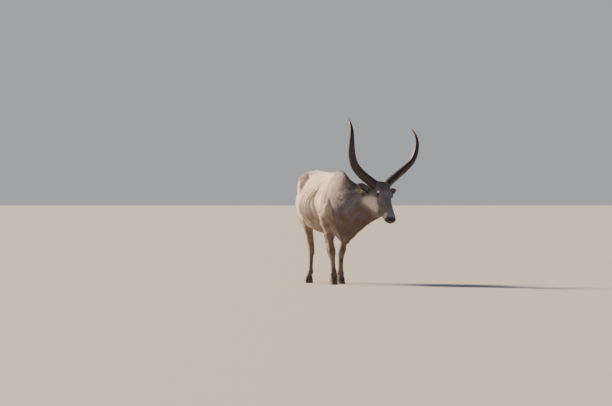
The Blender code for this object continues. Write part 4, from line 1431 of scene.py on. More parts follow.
coat, tree, shader = new_material("short_cattle_coat")
marks = node(tree, "Attribute", {"attribute_name": "markings_and_painted_shading"}).outputs
channels = node(tree, "SeparateColor", links={"Color": marks["Color"]}).outputs
place = node(tree, "TexCoord").outputs["Object"]
comb_place = node(tree, "Attribute", {"attribute_name": "combed"}).outputs["Vector"]
mottle = node(tree, "TexNoise", {"Scale": MOTTLES_PER_METRE, "Detail": 4.0}, {"Vector": place})
locks = node(tree, "TexNoise", {"Scale": LOCKS_PER_METRE, "Detail": 3.0}, {"Vector": comb_place})
streaks = node(tree, "TexNoise", {"Scale": STREAKS_PER_METRE, "Detail": 3.0}, {"Vector": comb_place})
# Each share reads a pattern, from a low to a high value, and gives a low to a high share
ranges = {
    "deep_cream": (mottle, 0.35, 0.70, 0.0, 0.45),
    "deep_grey": (mottle, 0.35, 0.70, 0.0, 1.0),
    "grey_streak": (streaks, 0.35, 0.68, 0.90, 1.02),
    "dust": (mottle, 0.35, 0.70, 0.55, 1.05),
    "lock_shade": (locks, 0.30, 0.70, 0.0, 0.16),
    "streak_shade": (streaks, 0.35, 0.68, 0.0, 0.10),
    "tuft_shade": (marks["Alpha"], 0.0, 1.0, 0.28, 0.0),
    "roughness": (channels[1], 0.0, 1.0, 0.72, 0.38),
}
share = {name: node(tree, "MapRange", dict(zip(RANGE_ENDS, ends)), {"Value": source})
         for name, (source, *ends) in ranges.items()}
cream = node(tree, "Mix", {"data_type": "RGBA", 6: CREAM, 7: CREAM_DEEP}, {"Factor": share["deep_cream"]})
grey = node(tree, "Mix", {"data_type": "RGBA", 6: SHADED_GREY, 7: SHADED_GREY_DEEP}, {"Factor": share["deep_grey"]})
grey_and_shade_share = node(tree, "Math", {"operation": "MULTIPLY"}, {0: channels[0], 1: share["grey_streak"]})
dust_and_shade_share = node(tree, "Math", {"operation": "MULTIPLY"}, {0: channels[2], 1: share["dust"]})
# The grey and tan shares carry painted shade as well as the coat's own grey and dust
paint = node(tree, "Mix", {"data_type": "RGBA"}, {"Factor": grey_and_shade_share, 6: cream, 7: grey})
paint = node(tree, "Mix", {"data_type": "RGBA", 7: DUST_AND_SHADE_TAN}, {"Factor": dust_and_shade_share, 6: paint})
for shade in (channels[1], share["lock_shade"], share["streak_shade"], share["tuft_shade"]):
    paint = node(tree, "Mix", {"data_type": "RGBA", 7: DARK}, {"Factor": shade, 6: paint})
soft_bump = node(tree, "Bump", {"Strength": 0.50, "Distance": 0.0025}, {"Height": streaks})
hair_bump = node(tree, "Bump", {"Strength": 0.55, "Distance": 0.0012}, {"Height": locks, "Normal": soft_bump})
adjust(shader, {"Specular IOR Level": 0.30, "Sheen Weight": 0.20, "Sheen Roughness": 0.45},
       {"Base Color": paint, "Normal": hair_bump, "Roughness": share["roughness"]})
skin.data.materials.clear()
skin.data.materials.append(coat)
FLESH_NODES = ["trunk", "neck", "head", "tail"]
FLESH_NODES += [part + side for part in ("foreleg_", "hindleg_", "ear_") for side in ("left", "right")]
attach(skin, "root")
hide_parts(*FLESH_NODES)
print("coat nodes:", len(tree.nodes))

# %% [markdown]
# ## Horns
# A horn is a sheath of keratin that grows out from its root, so it carries rings near the head,
# where each year's growth shows, and it is worn smooth and black towards its tip. It is a tube
# of ovals swept along the solid's own path, and the rings are small changes of its radius.
# Two more measures of each point are kept for the material: its place on a straightened horn,
# shortened along it, which the fibres are drawn on, and its share of the way to the tip.

# %% Horns
HORN = in_metres([
    (55, 10, -30, 49, 56),
    (100, 35, -5, 49, 56),
    (152, 66, 33, 48, 55),
    (230, 97, 84, 46, 53),
    (330, 110, 165, 43, 50),
    (400, 85, 240, 40, 46),
    (461, 45, 332, 36, 41),
    (490, 25, 430, 31, 34),
    (502, 26, 545, 23, 26),
    (501, 65, 645, 14, 16),
    (493, 141, 735, 3, 3),
])
HORN_RINGS = 330
HORN_SIDES = 60
RING_SPACING = 0.019
RING_DEPTH = 0.0011
FLUTE_DEPTH = 0.0005
GRAIN_ALONG = 0.10
# Slow changes of the rings' spacing: how much, and how fast along the horn
RING_DRIFTS = ((0.45, 31), (0.25, 77))
RING_NARROW = 0.17
RINGS_FADE = (0.12, 0.75)
WAVE_DEPTH = 0.0007
WAVES_ALONG = 24
# Flutes: how many round the horn, and how fast they turn along it
FLUTES = ((9, 6), (16, -9))
FLUTES_FADE = (0.2, 1.0)
HANDS = (("right", -1), ("left", 1))

horns = {}
horn_up = UPRIGHT.to_3x3() @ Vector((0, -0.6, 0.8))
(drift, fast), (small_drift, faster) = RING_DRIFTS
for hand, side in HANDS:
    rows = even_path(upright_rows(HORN, side), HORN_RINGS)
    steps = np.linalg.norm(np.diff(rows[:, :3], axis=0), axis=1)
    gone = np.concatenate([[0.0], np.cumsum(steps)])
    phase = gone / RING_SPACING + drift * np.sin(gone * fast + side) + small_drift * np.sin(gone * faster)
    rings_share = 1 - rise(gone, *RINGS_FADE)
    groove = np.exp(-((phase % 1.0 - 0.5) / RING_NARROW) ** 2)
    wave = 0.5 + 0.5 * np.sin(gone * WAVES_ALONG + 2 * side)
    shrink = 1 - rings_share * (RING_DEPTH * groove + WAVE_DEPTH * wave) / rows[:, 4]
    rows[:, 3:] *= shrink[:, None]
    horn = sweep("horn_sheath_" + hand, rows, HORN_RINGS, HORN_SIDES, horn_up)
    points, facing = read_points(horn)
    ring_of = np.minimum(np.arange(len(points)) // HORN_SIDES, HORN_RINGS - 1)
    turn = (np.arange(len(points)) % HORN_SIDES) / HORN_SIDES * 2 * math.pi
    out = gone[ring_of]
    flutes = sum(0.5 * np.sin(turn * count + out * twist) for count, twist in FLUTES)
    points += facing * (flutes * FLUTE_DEPTH * (1 - rise(out, *FLUTES_FADE)))[:, None]
    write_points(horn, points)
    radius = rows[ring_of, 4]
    fibres = np.column_stack([np.cos(turn) * radius, np.sin(turn) * radius, out * GRAIN_ALONG])
    keep_vectors(horn, "fibres", fibres)
    keep_vectors(horn, "grown", np.outer(out / gone[-1], (1, 0, 0)))
    horn.data.transform(Matrix.Translation(SHIFT))
    horn.data.shade_smooth()
    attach(horn, "root")
    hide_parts("horn_" + hand)
    horns[hand] = horn
print("horn length", round(float(gone[-1]), 3), "m, faces", len(horns["left"].data.polygons))

# %% [markdown]
# Horn keratin is dense and slightly see-through, with fibres 0.2 mm thick along its length.
# They are drawn as streaks about 1.5 mm wide. The sheath is dull and scratched brown by the head and turns
# black towards the tip, where the ox rubs it. Its roughness changes in scuffed patches all over.

# %% Horn material
HORN_BROWN = colour("3a2a20")
HORN_PALE = colour("5c4836")
HORN_BLACK = colour("14100e")
FIBRES_PER_METRE = 650.0
SCUFFS_PER_METRE = 26.0

keratin, tree, shader = new_material("worn_horn_keratin")
fibre_place = node(tree, "Attribute", {"attribute_name": "fibres"}).outputs["Vector"]
grown = node(tree, "Attribute", {"attribute_name": "grown"}).outputs["Vector"]
share_out = node(tree, "SeparateXYZ", links={"Vector": grown}).outputs["X"]
place = node(tree, "TexCoord").outputs["Object"]
fibre = node(tree, "TexNoise", {"Scale": FIBRES_PER_METRE, "Detail": 3.0}, {"Vector": fibre_place})
broad = node(tree, "TexNoise", {"Scale": FIBRES_PER_METRE / 9, "Detail": 4.0}, {"Vector": fibre_place})
scuff = node(tree, "TexNoise", {"Scale": SCUFFS_PER_METRE, "Detail": 6.0}, {"Vector": place})
ranges = {
    "streak": (broad, 0.42, 0.72, 0.0, 0.80),
    "to_tip": (share_out, 0.02, 0.75, 0.42, 1.0),
    "fine_streak": (fibre, 0.35, 0.65, 0.0, 0.30),
    "roughness": (scuff, 0.35, 0.70, 0.42, 0.64),
}
share = {name: node(tree, "MapRange", dict(zip(RANGE_ENDS, ends)), {"Value": source})
         for name, (source, *ends) in ranges.items()}
paint = node(tree, "Mix", {"data_type": "RGBA", 6: HORN_BROWN, 7: HORN_PALE}, {"Factor": share["streak"]})
for shade in (share["to_tip"], share["fine_streak"]):
    paint = node(tree, "Mix", {"data_type": "RGBA", 7: HORN_BLACK}, {"Factor": shade, 6: paint})
fine_bump = node(tree, "Bump", {"Strength": 0.35, "Distance": 0.0008}, {"Height": fibre})
broad_bump = node(tree, "Bump", {"Strength": 0.40, "Distance": 0.003}, {"Height": broad, "Normal": fine_bump})
adjust(shader, {"IOR": 1.54}, {"Base Color": paint, "Normal": broad_bump, "Roughness": share["roughness"]})
for horn in horns.values():
    horn.data.materials.append(keratin)
print("horn nodes:", len(tree.nodes))

# %% [markdown]
# ## Hooves
# An ox walks on two claws a foot. Each is a box of horn, straight on its inner side, that
# grows down from the coronet in faint rings and is worn to a sharp rim. Each solid's own mesh
# is copied and merged. Its rims are bevelled, which holds them when a subdivision surface
# rounds the rest. A brush lifts the rings of the wall and the soft bulb of the heel.

# %% Hooves
RIM_BEVEL = 0.0016
RIM_ANGLE = math.radians(35)
HOOF_LEVELS = 2
HOOF_RINGS_HIGH = 0.0075
HOOF_RING_LIFT = 0.00045
# How much the rings rise towards the heel, and where behind the foot's middle they fade
RING_SLANT = 14
HEEL_FROM = 0.020
HEEL_TO = 0.050
HEEL_BULB = 0.0022
BULB_FROM = 0.032
BULB_TO = 0.055
# The wall lies between these shares of the hoof's height, and fades over them
WALL_FOOT = (0.06, 0.20)
WALL_TOP = (0.85, 1.00)
MERGE_NEARER = 0.00002
QUAD_FLATNESS = math.radians(30)
QUAD_SHAPE = math.radians(60)


def copy_node(name, new_name):
    """A new object with its own merged copy of a solid's mesh, in quads where it can be."""
    made = bpy.data.objects.new(new_name, frame["nodes"][name].data.copy())
    bpy.context.collection.objects.link(made)
    select_only(made)
    bpy.ops.object.mode_set(mode="EDIT")
    bpy.ops.mesh.select_all(action="SELECT")
    bpy.ops.mesh.remove_doubles(threshold=MERGE_NEARER)
    bpy.ops.mesh.tris_convert_to_quads(face_threshold=QUAD_FLATNESS, shape_threshold=QUAD_SHAPE)
    bpy.ops.mesh.normals_make_consistent(inside=False)
    bpy.ops.object.mode_set(mode="OBJECT")
    return made


hooves = []
for foot_name in FEET:
    for claw in ("outer", "inner"):
        node_name = "claw_" + foot_name + "_" + claw
        hoof = copy_node(node_name, "hoof_" + foot_name + "_" + claw)
        bpy.ops.object.mode_set(mode="EDIT")
        bpy.ops.mesh.select_mode(type="EDGE")
        bpy.ops.mesh.select_all(action="DESELECT")
        bpy.ops.mesh.edges_select_sharp(sharpness=RIM_ANGLE)
        bpy.ops.mesh.bevel(offset=RIM_BEVEL, segments=2)
        bpy.ops.object.mode_set(mode="OBJECT")
        rounded = hoof.modifiers.new("rounded", "SUBSURF")
        rounded.levels = HOOF_LEVELS
        rounded.render_levels = HOOF_LEVELS
        apply_all(hoof)
        points, facing = read_points(hoof)
        x, y, z = (points - STEP).T
        back = behind_foot(foot_name, x, y)
        height = z / coronet(foot_name, x, y)
        wall = np.clip(1 - np.abs(facing[:, 2]) * 1.3, 0, 1) * rise(height, *WALL_FOOT)
        wall = wall * (1 - rise(height, *WALL_TOP))
        ringed = np.sin(z / HOOF_RINGS_HIGH * 2 * math.pi + back * RING_SLANT) * HOOF_RING_LIFT
        bulb = HEEL_BULB * rise(back, BULB_FROM, BULB_TO) * rise(height, 0.25, 0.6) * wall
        points += facing * (ringed * wall * (1 - rise(back, HEEL_FROM, HEEL_TO)) + bulb)[:, None]
        write_points(hoof, points)
        hoof.data.shade_smooth()
        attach(hoof, "root")
        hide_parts(node_name)
        hooves.append(hoof)
print("hooves:", len(hooves), "of", len(hooves[0].data.polygons), "faces")

# %% [markdown]
# Behind each fetlock hang two dewclaws, small blunt cones of the same horn. One is made from
# an icosphere, scaled in edit mode and narrowed downwards by a brush, and copied to its eight
# places.

# %% Dewclaws
DEWCLAW_Z = 0.122
DEWCLAW_RADII = (0.0135, 0.0120, 0.0200)
DEWCLAW_APART = 0.018
DEWCLAW_BACK = 0.037
DEWCLAW_TILT = math.radians(38)
DEWCLAW_SPLAY = -0.25
DEWCLAW_NARROW = 0.42

select_only()
bpy.ops.mesh.primitive_ico_sphere_add(subdivisions=3, radius=1.0)
pattern = bpy.context.object
bpy.ops.object.mode_set(mode="EDIT")
bpy.ops.transform.resize(value=DEWCLAW_RADII)
bpy.ops.object.mode_set(mode="OBJECT")
points, facing = read_points(pattern)
low = rise(-points[:, 2] / DEWCLAW_RADII[2], -0.2, 1.0)
points[:, :2] *= (1 - DEWCLAW_NARROW * low)[:, None]
write_points(pattern, points)
dewclaws = []
for foot_name in FEET:
    rows, _, swing_z = LEG_TABLES[foot_name[:4]]
    rows = sorted(rows)
    x, y = along(rows, [row[0] for row in rows], [DEWCLAW_Z])[0][1:3]
    middle = leaned(foot_name, x, y, DEWCLAW_Z, rows[0][1:3], swing_z)
    for across in (-1, 1):
        claw = pattern.copy()
        claw.data = pattern.data.copy()
        bpy.context.collection.objects.link(claw)
        place = (Matrix.Translation((*middle, DEWCLAW_Z)) @ Matrix.Rotation(toe_turn(foot_name), 4, "Z")
                 @ Matrix.Translation((across * DEWCLAW_APART, DEWCLAW_BACK, 0))
                 @ Matrix.Rotation(DEWCLAW_TILT, 4, "X")
                 @ Matrix.Rotation(across * DEWCLAW_SPLAY, 4, "Y"))
        claw.data.transform(Matrix.Translation(SHIFT) @ place)
        dewclaws.append(claw)
bpy.data.objects.remove(pattern)
select_only(*dewclaws)
bpy.ops.object.join()
dewclaw_piece = bpy.context.object
dewclaw_piece.name = "dewclaws"
dewclaw_piece.data.shade_smooth()
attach(dewclaw_piece, "root")
hooves.append(dewclaw_piece)
print("dewclaw faces:", len(dewclaw_piece.data.polygons))

# %% [markdown]
# Hoof horn is like the horns, but never polished: it is dull, grey-brown and dusty, with fine
# lines down the wall, paler where dust lies at its foot.

# %% Hoof material
HOOF_DARK = colour("443a31")
HOOF_BROWN = colour("786755")
DUST = colour("94795d")
WALL_LINES_PER_METRE = 420.0
BLOTCHES_PER_METRE = 45.0
DUST_HIGH = 0.035

hoof_horn, tree, shader = new_material("dusty_hoof_horn")
place = node(tree, "TexCoord").outputs["Object"]
level = node(tree, "SeparateXYZ", links={"Vector": place}).outputs["Z"]
squeezed = node(tree, "Mapping", {"Scale": (1.0, 1.0, 0.12)}, {"Vector": place})
lines = node(tree, "TexNoise", {"Scale": WALL_LINES_PER_METRE, "Detail": 3.0}, {"Vector": squeezed})
blotch = node(tree, "TexNoise", {"Scale": BLOTCHES_PER_METRE, "Detail": 5.0}, {"Vector": place})
ranges = {
    "lined": (lines, 0.35, 0.68, 0.0, 1.0),
    "near_floor": (level, DUST_HIGH, 0.0, 0.0, 0.60),
    "roughness": (blotch, 0.0, 1.0, 0.50, 0.80),
}
share = {name: node(tree, "MapRange", dict(zip(RANGE_ENDS, ends)), {"Value": source})
         for name, (source, *ends) in ranges.items()}
wall = node(tree, "Mix", {"data_type": "RGBA", 6: HOOF_DARK, 7: HOOF_BROWN}, {"Factor": share["lined"]})
dusty = node(tree, "Math", {"operation": "MULTIPLY"}, {0: share["near_floor"], 1: blotch})
dusted = node(tree, "Mix", {"data_type": "RGBA", 7: DUST}, {"Factor": dusty, 6: wall})
line_bump = node(tree, "Bump", {"Strength": 0.4, "Distance": 0.001}, {"Height": lines})
adjust(shader, {"IOR": 1.54}, {"Base Color": dusted, "Normal": line_bump, "Roughness": share["roughness"]})
for hoof in hooves:
    hoof.data.materials.clear()
    hoof.data.materials.append(hoof_horn)
print("hoof nodes:", len(tree.nodes))

# %% [markdown]
# ## Eyes
# An ox's eye is a ball 37 mm across whose clear front bulges a little. Behind it lies a very
# dark brown iris with a pupil that is a level oval. The ball is a sphere primitive with its
# poles on the line of sight, so its rings of faces are round the pupil, and the bulge is made
# by a brush. Each point keeps its place on the eye's own axes, which the colours are read from.

# %% Eyes
BULGE = 0.0011
BULGE_SHARE = 0.62
EYE_SEGMENTS = 64
EYE_RINGS = 48

eyes = []
for hand, side in HANDS:
    select_only()
    bpy.ops.mesh.primitive_uv_sphere_add(segments=EYE_SEGMENTS, ring_count=EYE_RINGS, radius=EYE_RADIUS)
    eye = bpy.context.object
    eye.name = "eyeball_" + hand
    points, facing = read_points(eye)
    from_middle = np.linalg.norm(points[:, :2], axis=1) / EYE_RADIUS
    cornea = np.clip(1 - (from_middle / BULGE_SHARE) ** 2, 0, 1) * (points[:, 2] > 0)
    write_points(eye, points + facing * (cornea * BULGE)[:, None])
    keep_vectors(eye, "eye_place", points / EYE_RADIUS)
    outward = Vector((side * EYE_OUT.x, -EYE_OUT.y, EYE_OUT.z))
    level_line = Vector((0, -EYE_SLIT.y, EYE_SLIT.z))
    level_line = (level_line - outward * level_line.dot(outward)).normalized()
    axes = Matrix((level_line, outward.cross(level_line), outward)).transposed()
    middle = Vector((side * EYE.x, EYE.y, EYE.z))
    eye.data.transform(Matrix.Translation(middle) @ axes.to_4x4())
    eye.data.transform(Matrix.Translation(SHIFT) @ HEAD_AXES)
    eye.data.shade_smooth()
    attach(eye, "root")
    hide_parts("eye_" + hand)
    eyes.append(eye)
print("eyes:", len(eyes), "of", len(eyes[0].data.polygons), "faces")

# %% [markdown]
# A wet film makes the eye the glossiest thing on the animal, with one sharp highlight. The
# iris has fine fibres towards the pupil, and the white is brown and pink where it shows.

# %% Eye material
IRIS = colour("2e1a10")
IRIS_LIGHT = colour("4d2d18")
PUPIL = colour("070608")
WHITE = colour("8d7a6c")
PUPIL_LONG = 0.36
PUPIL_HIGH = 0.19
IRIS_RADIUS = 0.66
IRIS_EDGE = 0.06
IRIS_FIBRES = 14.0

wet_eye, tree, shader = new_material("wet_dark_eye")
eye_place = node(tree, "Attribute", {"attribute_name": "eye_place"}).outputs["Vector"]
flat = node(tree, "VectorMath", {"operation": "MULTIPLY", 1: (1.0, 1.0, 0.0)}, {0: eye_place})
oval = (1 / PUPIL_LONG, 1 / PUPIL_HIGH, 0.0)
off_pupil = node(tree, "VectorMath", {"operation": "MULTIPLY", 1: oval}, {0: eye_place})
pupil_reach = node(tree, "VectorMath", {"operation": "LENGTH"}, {0: off_pupil})
iris_reach = node(tree, "VectorMath", {"operation": "LENGTH"}, {0: flat})
radial = node(tree, "VectorMath", {"operation": "NORMALIZE"}, {0: flat})
fibres = node(tree, "TexNoise", {"Scale": IRIS_FIBRES, "Detail": 3.0}, {"Vector": radial})
off_pupil_share = node(tree, "MapRange", {"From Min": 0.95, "From Max": 1.10}, {"Value": pupil_reach})
off_iris_ends = {"From Min": IRIS_RADIUS, "From Max": IRIS_RADIUS + IRIS_EDGE}
off_iris_share = node(tree, "MapRange", off_iris_ends, {"Value": iris_reach})
iris = node(tree, "Mix", {"data_type": "RGBA", 6: IRIS, 7: IRIS_LIGHT}, {"Factor": fibres})
iris = node(tree, "Mix", {"data_type": "RGBA", 6: PUPIL}, {"Factor": off_pupil_share, 7: iris})
whole_eye = node(tree, "Mix", {"data_type": "RGBA", 7: WHITE}, {"Factor": off_iris_share, 6: iris})
adjust(shader, {"Roughness": 0.05, "Coat Weight": 1.0, "Coat Roughness": 0.02, "IOR": 1.38},
       {"Base Color": whole_eye})
for eye in eyes:
    eye.data.materials.append(wet_eye)
print("eye nodes:", len(tree.nodes))

# %% [markdown]
# ## Hair that breaks the outline
# Most of the coat lies flat and is drawn by the material. Tufts of solid mesh lie over it and
# break its edge: each is a lock of many hairs, three-sided, thin and pointed. Its root sits
# just under the skin, and it leaves the skin at a low angle along the lie of the hair. All the
# tufts of a piece are worked out together as arrays, because there are tens of thousands.
# A tuft's patch on the unwrap is about 0.003 wide, at its root's own place on the skin's
# unwrap. The tufts take their shading direction from the skin under them, each turned a
# little, so that they read as one lying coat with soft locks in it.

# %% Tufts
PATCH = 0.0028
ROOT_SUNK = 0.0007
TUFT_HIGH = 0.16
ROOT_SHADE = 0.24
LOCK_TURN = 0.11
TUFT_SAG = 0.45
UV_EDGE = 0.0005
# Random factors of a tuft's length, width and lift, and its random tint
LENGTHS = (0.75, 1.2)
WIDTH_FACTORS = (0.8, 1.2)
LIFTS = (0.6, 1.4)
TINTS = (0.80, 1.0)
# How a tuft's width changes along it
WIDTH_PLACES = (0.0, 0.35, 0.7, 1.0)
WIDTHS = (0.9, 1.0, 0.7, 0.0)


def surface_sample(target, weights, count, random):
    """Random places on a mesh, thicker where its points weigh more, with normals and UVs."""
    mesh = target.data
    mesh.calc_loop_triangles()
    corners = np.empty(len(mesh.loop_triangles) * 3, int)
    mesh.loop_triangles.foreach_get("vertices", corners)
    loops = np.empty(len(corners), int)
    mesh.loop_triangles.foreach_get("loops", loops)
    uvs = np.empty(len(mesh.loops) * 2)
    mesh.uv_layers["OFBake"].data.foreach_get("uv", uvs)
    spots, facing = read_points(target)
    corners = corners.reshape(-1, 3)
    loops = loops.reshape(-1, 3)
    a, b, c = (spots[corners[:, k]] for k in range(3))
    share = np.linalg.norm(np.cross(b - a, c - a), axis=1) * weights[corners].mean(axis=1)
    reach = np.cumsum(share) / share.sum()
    picks = np.searchsorted(reach, (np.arange(count) + random.random(count)) / count)
    picks = np.minimum(picks, len(corners) - 1)
    u, v = random.random((2, count))
    over = u + v > 1
    u[over], v[over] = 1 - u[over], 1 - v[over]
    mixing = np.column_stack([1 - u - v, u, v])[:, :, None]
    roots = (spots[corners[picks]] * mixing).sum(axis=1)
    normals = (facing[corners[picks]] * mixing).sum(axis=1)
    normals /= np.linalg.norm(normals, axis=1)[:, None]
    return roots, normals, (uvs.reshape(-1, 2)[loops[picks]] * mixing).sum(axis=1)


def mesh_from_arrays(name, points, triangles, uvs):
    """A mesh object from arrays of points, triangles and one UV for each point."""
    mesh = bpy.data.meshes.new(name)
    mesh.vertices.add(len(points))
    mesh.vertices.foreach_set("co", points.ravel())
    mesh.loops.add(triangles.size)
    mesh.loops.foreach_set("vertex_index", triangles.ravel())
    mesh.polygons.add(len(triangles))
    mesh.polygons.foreach_set("loop_start", np.arange(len(triangles)) * 3)
    mesh.update(calc_edges=True)
    mesh.uv_layers.new(name="OFBake")
    mesh.uv_layers["OFBake"].data.foreach_set("uv", uvs[triangles.ravel()].ravel())
    mesh.shade_smooth()
    made = bpy.data.objects.new(name, mesh)
    bpy.context.collection.objects.link(made)
    return made


def tuft_arrays(roots, normals, uvs, along_hair, length, width, lift, random, steps, sway=0.12):
    """Points, triangles, UVs and shares of length for tufts, steps being their rings' places."""
    count = len(roots)
    flat = along_hair - normals * (along_hair * normals).sum(axis=1)[:, None]
    flat /= np.maximum(np.linalg.norm(flat, axis=1), 1e-6)[:, None]
    across = np.cross(normals, flat)
    length = (length * random.uniform(*LENGTHS, count))[:, None]
    width = (width * random.uniform(*WIDTH_FACTORS, count))[:, None]
    lift = (lift * random.uniform(*LIFTS, count))[:, None]
    turn = random.normal(0, sway, count)[:, None]
    bend = random.normal(0, sway, count)[:, None]
    ahead = flat + across * turn
    points, patches = [], []
    for t in (*steps, 1.0):
        middle = roots + ahead * length * t + across * bend * length * t * t
        middle = middle + normals * (lift * length * t * (1 - TUFT_SAG * t) - ROOT_SUNK * (1 - t))
        half = width * 0.5 * np.interp(t, WIDTH_PLACES, WIDTHS)
        ring = [(-1.0, 0.0), (1.0, 0.0), (0.0, 1.0)] if t < 1 else [(0.0, 0.0)]
        for sideways, high in ring:
            points.append(middle + across * half * sideways + normals * half * 2 * TUFT_HIGH * high)
            patches.append(uvs + np.array((sideways * 0.5 * (1 - 0.8 * t), t - 0.5)) * PATCH)
    rings = len(steps)
    faces = [(0, 2, 1)]
    for r in range(rings - 1):
        for k in range(3):
            a, b = 3 * r + k, 3 * r + (k + 1) % 3
            faces += [(a, b, a + 3), (b, b + 3, a + 3)]
    last = 3 * (rings - 1)
    faces += [(last + k, last + (k + 1) % 3, 3 * rings) for k in range(3)]
    size = len(points)
    points = np.stack(points, axis=1).reshape(-1, 3)
    patches = np.stack(patches, axis=1).reshape(-1, 2)
    triangles = (np.array(faces)[None] + np.arange(count)[:, None, None] * size).reshape(-1, 3)
    shares = np.tile([*np.repeat(steps, 3), 1.0], count)
    return points, triangles, np.clip(patches, UV_EDGE, 1 - UV_EDGE), shares


def tuft_piece(name, batches, random):
    """One coat piece from batches of tufts: their arrays, roots and normals."""
    arrays, roots, normals = zip(*batches)
    roots, normals = np.concatenate(roots), np.concatenate(normals)
    points, triangles, uvs, along_length = zip(*arrays)
    starts = np.cumsum([0, *(len(each) for each in points)])
    triangles = np.concatenate([faces + start for faces, start in zip(triangles, starts)])
    points, uvs, along_length = (np.concatenate(each) for each in (points, uvs, along_length))
    owners = np.arange(len(points)) // (len(points) // len(roots))
    made = mesh_from_arrays(name, points, triangles, uvs)
    shares = markings_and_painted_shading(roots - STEP, normals)[owners]
    tint = random.uniform(*TINTS, len(roots))[owners]
    shares[:, 3] = tint * (1 - ROOT_SHADE * (1 - along_length) ** 2)
    keep_looks(made, points - STEP, shares)
    turned = normals + random.normal(0, LOCK_TURN, normals.shape)
    turned /= np.linalg.norm(turned, axis=1)[:, None]
    made.data.normals_split_custom_set_from_vertices(turned[owners])
    made.data.materials.append(coat)
    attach(made, "root")
    print(name + ":", len(roots), "tufts,", len(triangles), "triangles")


print("a tuft's patch:", PATCH, "and the share of its width that is its height:", TUFT_HIGH)

# %% [markdown]
# The short coat is spread over the whole skin apart from the muzzle, the lids, the insides of
# the ears and nostrils, and the soles. Its tufts are 20 mm long on the body, and half of that
# on the face and feet, where there are more of them. It is parted into pieces that each hold
# a random share, so every piece covers the whole unwrap.

# %% Short coat
SHORT_TUFTS = 68000
SHORT_PIECES = 4
SHORT_STEPS = (0.0, 0.55)
BODY_TUFT = (0.020, 0.0044)
FACE_TUFT_SHARE = 0.50
SHORT_LIFT = 0.11
FOOT_LEVELS = (-0.42, -0.20)
COAT_SEED = 7
# Where the coat ends: down the face at the muzzle, round the eyes, and above the soles
BARE_MUZZLE = (0.445, 0.462)
BARE_LIDS = (0.024, 0.030)
BARE_FEET = (0.050, 0.065)
FINE_CROWDING = 2.2


def to_front(facing):
    """How far normals point the way that the ears open."""
    return -(facing @ np.array(UPRIGHT.to_3x3()))[:, 1]


def fineness(local):
    """1 where the coat is fine and short, on the head, and almost 1 on the feet."""
    return np.clip(head_share(local) + 0.7 * rise(-local[:, 2], *FOOT_LEVELS), 0, 1)


random = np.random.default_rng(COAT_SEED)
spots, facing = read_points(skin)
local = spots - STEP
face = in_head(local)
by_eye = np.minimum(*(np.linalg.norm(face - eye_spot * (side, 1, 1), axis=1) for side in (-1, 1)))
bare = rise(face[:, 1], *BARE_MUZZLE) * head_share(local)
bare = np.maximum(bare, 1 - rise(by_eye, *BARE_LIDS))
inner_ear = rise(to_front(facing), 0.2, 0.6) * ear_share_of(local)
weights = (1 + FINE_CROWDING * fineness(local)) * (1 - bare) * (1 - 0.9 * inner_ear)
weights = weights * rise(local[:, 2], *BARE_FEET)
roots, normals, uvs = surface_sample(skin, weights, SHORT_TUFTS, random)
size = 1 - (1 - FACE_TUFT_SHARE) * fineness(roots - STEP)
hair = lie_of(roots - STEP)
part_of = random.integers(0, SHORT_PIECES, SHORT_TUFTS)
for k in range(SHORT_PIECES):
    mine = part_of == k
    length, width = (measure * size[mine] for measure in BODY_TUFT)
    arrays = tuft_arrays(roots[mine], normals[mine], uvs[mine], hair[mine], length, width, SHORT_LIFT,
                         random, SHORT_STEPS)
    tuft_piece("short_coat_" + str(k + 1), [(arrays, roots[mine], normals[mine])], random)
print("short tufts:", SHORT_TUFTS)

# %% [markdown]
# Longer hair grows in a few places: in and round the ears, on the poll and round the horns'
# bases, on the crest of the neck and hump, the edge of the dewlap, the belly, the sheath, the
# backs of the legs and the fetlocks, round the coronets, and on the tail. Each place is a rule
# for how thickly it grows, with the length, the width and the lift of its tufts, and the way
# they lean out of the lie.

# %% Fringes
FRINGE_STEPS = (0.0, 0.35, 0.70)
FRINGE_SWAY = 0.2
HORN_FOOT = (0.105, 0.038, -0.002)


def zone_weights(local, facing):
    """How thickly each kind of longer hair grows at points of the skin."""
    face = in_head(local)
    upright = on_axes(UPRIGHT, local)
    folded = np.column_stack([np.abs(upright[:, 0]), upright[:, 1:]])
    from_horn = np.linalg.norm(folded - HORN_FOOT, axis=1)
    head = head_share(local)
    ear = ear_share_of(local)
    x, y, z = local.T
    on_ear = folded - EAR_ROOT
    edge = rise(np.abs(on_ear @ ear_side), 0.020, 0.034)
    lower_leg = rise(-z, -0.60, -0.45) * rise(z, 0.055, 0.070)
    behind = rise(facing[:, 1], 0.35, 0.85)
    neck = rise(-y, 0.50, 0.62) * (1 - head)
    crest = rise(facing[:, 2], 0.55, 0.9) * rise(-y, 0.15, 0.30) * (1 - head)
    under = rise(-facing[:, 2], 0.5, 0.9) * (np.abs(x) < 0.16) * (y > -0.5)
    return {
        "ear_edge": ear * (0.25 + edge),
        "ear_inside": ear * rise(to_front(facing), 0.3, 0.8),
        "poll": spot_share(face, (0.0, 0.015, 0.010), (0.085, 0.060, 0.060)) * head,
        "horn_base": head * rise(0.020 - np.abs(from_horn - 0.062), 0.0, 0.010),
        "crest": crest * rise(z, 1.10, 1.16),
        "dewlap": rise(-facing[:, 2], 0.15, 0.6) * neck * rise(-z, -1.0, -0.7),
        "belly": under * rise(z, 0.50, 0.56),
        "sheath": spot_share(local, (0.0, 0.085, 0.510), (0.030, 0.045, 0.045)),
        "leg_back": lower_leg * behind * (1 - rise(y, 0.80, 0.84)),
        "fetlock": behind * spot_share(z[:, None], (0.115,), (0.050,)) * (y < 0.8),
        "coronet": spot_share(z[:, None], (0.066,), (0.020,)) * (np.abs(facing[:, 2]) < 0.8),
        "tail": rise(y, 0.80, 0.84) * rise(-z, -1.22, -1.0),
    }


